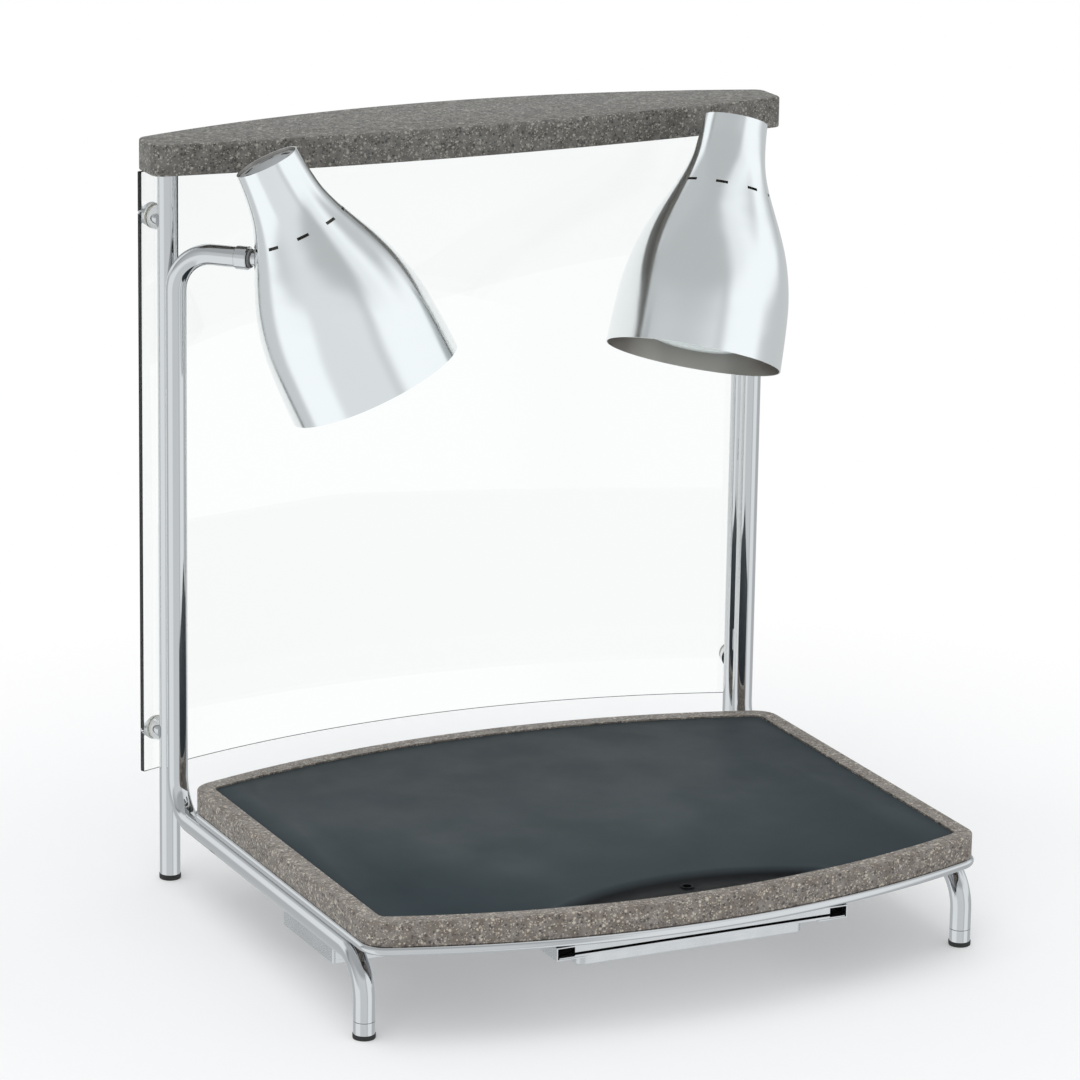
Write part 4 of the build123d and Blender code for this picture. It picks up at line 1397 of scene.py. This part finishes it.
@dataclass
class Studio:
    """Camera at the photograph's angle, pale floor and soft light."""

    lens: float = 175.45
    position: tuple[float, float, float] = (-2.3263, -4.7372, 1.8983)
    right: tuple[float, float, float] = (0.90164, -0.43221, 0.01543)
    up: tuple[float, float, float] = (0.10402, 0.25135, 0.96229)
    camera_bearing: float = 243.8
    floor_colour: Colour = (0.93, 0.935, 0.94)
    floor_lift: float = 0.24
    floor_fade: tuple[float, float] = (0.62, 1.15)
    floor_half: float = 30.0
    fill: float = 0.66
    fill_colour: Colour = (0.97, 0.985, 1.0)
    panel_tint: Colour = (0.97, 1.0, 1.015)
    mid_rise: tuple[float, float] = (-0.03, 0.10)
    high_rise: tuple[float, float] = (0.46, 0.62)
    low_panels: tuple[tuple[float, float], ...] = (
        (-179.0, 0.62), (-104.0, 0.68), (-90.0, 1.12), (-44.0, 1.12), (-32.0, 0.86), (27.0, 0.86),
        (35.0, 0.70), (46.0, 1.12), (80.0, 1.12), (94.0, 0.65), (179.0, 0.62))
    mid_panels: tuple[tuple[float, float], ...] = (
        (-179.0, 0.62), (-140.0, 0.62), (-131.0, 1.12), (-109.0, 1.12), (-99.0, 0.40), (-88.0, 0.60),
        (-32.0, 0.86), (22.0, 0.88), (34.0, 0.72), (47.0, 1.12), (122.0, 1.12), (138.0, 0.70), (150.0, 0.38),
        (162.0, 0.55), (179.0, 0.62))
    high_panels: tuple[tuple[float, float], ...] = (
        (-179.0, 0.62), (-110.0, 0.60), (-85.0, 0.56), (35.0, 0.56), (60.0, 0.96), (85.0, 1.08),
        (112.0, 0.64), (179.0, 0.62))

    def camera(self) -> None:
        """Set the camera up."""
        data = bpy.data.cameras.new("photo_camera")
        data.lens = self.lens
        data.sensor_width = 36.0
        data.dof.use_dof = False
        data.clip_end = 100.0
        holder = bpy.data.objects.new("photo_camera", data)
        right, up = Vector(self.right).normalized(), Vector(self.up)
        up = (up - right * up.dot(right)).normalized()
        back = right.cross(up)
        turn = Matrix((right, up, back)).transposed().to_4x4()
        holder.matrix_world = Matrix.Translation(Vector(self.position)) @ turn
        bpy.context.scene.collection.objects.link(holder)
        bpy.context.scene.camera = holder

    def sun(self, name: str, aim: tuple, strength: float, spread: float) -> None:
        """Hang one distant, very broad soft light.

        Args:
            name: Name of the light.
            aim: Direction in which it shines.
            strength: Its strength in watts a square metre.
            spread: Its apparent width in degrees.
        """
        data = bpy.data.lights.new(name, "SUN")
        data.energy = strength
        data.angle = radians(spread)
        holder = bpy.data.objects.new(name, data)
        holder.rotation_euler = Vector(aim).to_track_quat("-Z", "Y").to_euler()
        holder.visible_glossy = False
        bpy.context.scene.collection.objects.link(holder)

    @staticmethod
    def seen(shader: Shader, *rays: str) -> bpy.types.NodeSocket:
        """Light path test that is 1 for any of the named rays.

        Args:
            shader: Shader to build in.
            *rays: Names of Light Path outputs.

        Returns:
            The test's value.
        """
        path = shader.node("ShaderNodeLightPath")
        value = path.outputs[rays[0]]
        for ray in rays[1:]:
            either = shader.node("ShaderNodeMath", {"operation": "MAXIMUM"})
            shader.tree.links.new(value, either.inputs[0])
            shader.tree.links.new(path.outputs[ray], either.inputs[1])
            value = either.outputs[0]
        return value

    def floor(self) -> None:
        """Lay the pale floor, which keeps the shadow and fades to white around it."""
        mesh = bmesh.new()
        bmesh.ops.create_grid(mesh, x_segments=1, y_segments=1, size=self.floor_half)
        data = bpy.data.meshes.new("studio_floor")
        mesh.to_mesh(data)
        mesh.free()
        shader = Shader("studio_floor")
        shader.set(Roughness=1.0, Specular_IOR_Level=0.0, Base_Color=self.floor_colour)
        where = shader.place()
        far = shader.node("ShaderNodeVectorMath", {"operation": "LENGTH"}, Vector=where).outputs["Value"]
        share = shader.remap(far, self.floor_lift, 1.0, *self.floor_fade)
        white = shader.node("ShaderNodeEmission", Color=WHITE, Strength=1.0).outputs[0]
        shader.cover(shader.times(share, self.seen(shader, "Is Camera Ray", "Is Transmission Ray")), white)
        data.materials.append(shader.material)
        piece = bpy.data.objects.new("studio_floor", data)
        piece.visible_glossy = False
        bpy.context.scene.collection.objects.link(piece)

    def world(self) -> None:
        """Fill the studio with even light, white to the eye, with soft panels that show in metal."""
        world = bpy.data.worlds.new("studio_world")
        bpy.context.scene.world = world
        world.use_nodes = True
        tree = world.node_tree

        def add(kind: str, **settings: object) -> bpy.types.Node:
            """Add a node to the world.

            Args:
                kind: Blender's type name of the node.
                **settings: Properties of the node.

            Returns:
                The new node.
            """
            node = tree.nodes.new(kind)
            for word, value in settings.items():
                setattr(node, word, value)
            return node

        def tint(tone: float) -> tuple[float, ...]:
            """Grey of a tone, a little cool."""
            return (*(tone * part for part in self.panel_tint), 1.0)

        def ramp(panels: tuple[tuple[float, float], ...]) -> bpy.types.NodeSocket:
            """Ramp of tones by the angle from the photograph's side, in degrees, rising anticlockwise.

            Args:
                panels: Angle and tone of each stop.

            Returns:
                The tone as a colour.
            """
            node = add("ShaderNodeValToRGB")
            stops = node.color_ramp.elements
            node.color_ramp.interpolation = "EASE"
            stops[0].position, stops[1].position = 0.0, 1.0
            for stop in (stops[0], stops[1]):
                stop.color = tint(panels[0][1])
            for angle, tone in panels:
                stops.new((angle + 180.0) / 360.0).color = tint(tone)
            tree.links.new(turn.outputs["Fac"], node.inputs["Fac"])
            return node.outputs["Color"]

        link = tree.links.new
        where = add("ShaderNodeTexCoord")
        spin = add("ShaderNodeMapping")
        spin.inputs["Rotation"].default_value = (0.0, 0.0, radians(-self.camera_bearing))
        link(where.outputs["Generated"], spin.inputs["Vector"])
        turn = add("ShaderNodeTexGradient", gradient_type="RADIAL")
        link(spin.outputs["Vector"], turn.inputs["Vector"])
        height = add("ShaderNodeSeparateXYZ")
        link(where.outputs["Generated"], height.inputs["Vector"])
        shine = ramp(self.low_panels)
        for upper, (start, stop) in ((self.mid_panels, self.mid_rise), (self.high_panels, self.high_rise)):
            rise = add("ShaderNodeMapRange")
            link(height.outputs["Z"], rise.inputs["Value"])
            rise.inputs["From Min"].default_value = start
            rise.inputs["From Max"].default_value = stop
            panels = add("ShaderNodeMix", data_type="RGBA")
            link(rise.outputs["Result"], panels.inputs["Factor"])
            link(shine, panels.inputs[6])
            link(ramp(upper), panels.inputs[7])
            shine = panels.outputs[2]
        soft = tree.nodes["Background"]
        soft.inputs["Color"].default_value = (*self.fill_colour, 1.0)
        soft.inputs["Strength"].default_value = self.fill
        studio = add("ShaderNodeBackground")
        link(shine, studio.inputs["Color"])
        white = add("ShaderNodeBackground")
        white.inputs["Color"].default_value = WHITE
        path = add("ShaderNodeLightPath")
        metal = add("ShaderNodeMixShader")
        eye = add("ShaderNodeMixShader")
        either = add("ShaderNodeMath", operation="MAXIMUM")
        link(path.outputs["Is Glossy Ray"], metal.inputs[0])
        link(soft.outputs[0], metal.inputs[1])
        link(studio.outputs[0], metal.inputs[2])
        link(path.outputs["Is Camera Ray"], either.inputs[0])
        link(path.outputs["Is Transmission Ray"], either.inputs[1])
        link(either.outputs[0], eye.inputs[0])
        link(metal.outputs[0], eye.inputs[1])
        link(white.outputs[0], eye.inputs[2])
        link(eye.outputs[0], tree.nodes["World Output"].inputs["Surface"])

    def build(self) -> None:
        """Build the studio."""
        self.camera()
        self.world()
        self.floor()
        self.sun("top_light", (0.18, 0.05, -1.0), 0.85, 50.0)
        self.sun("front_light", (0.65, 0.75, -0.8), 0.45, 40.0)


def main() -> None:
    """Build the station piece by piece."""
    logging.basicConfig(level=logging.INFO, format="%(message)s")
    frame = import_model()
    bpy.context.scene.view_settings.view_transform = "Standard"
    Studio().build()
    finishes = Finishes()
    finishes.dress(frame)
    stand = Stand()
    stand.build(finishes.chrome, finishes.plastic[Plastic.RUBBER])
    Slabs().build(frame, finishes.base_stone, finishes.canopy_stone, finishes.coat)
    Guard(stand).build(finishes.guard, finishes.chrome, finishes.plastic[Plastic.BEARING])
    Lamp(Side.LEFT, swivel=11.5, slot_turn=21.5, stand=stand).build(finishes, frame)
    Lamp(Side.RIGHT, swivel=3.2, slot_turn=10.8, stand=stand).build(finishes, frame)


if __name__ == "__main__":
    main()
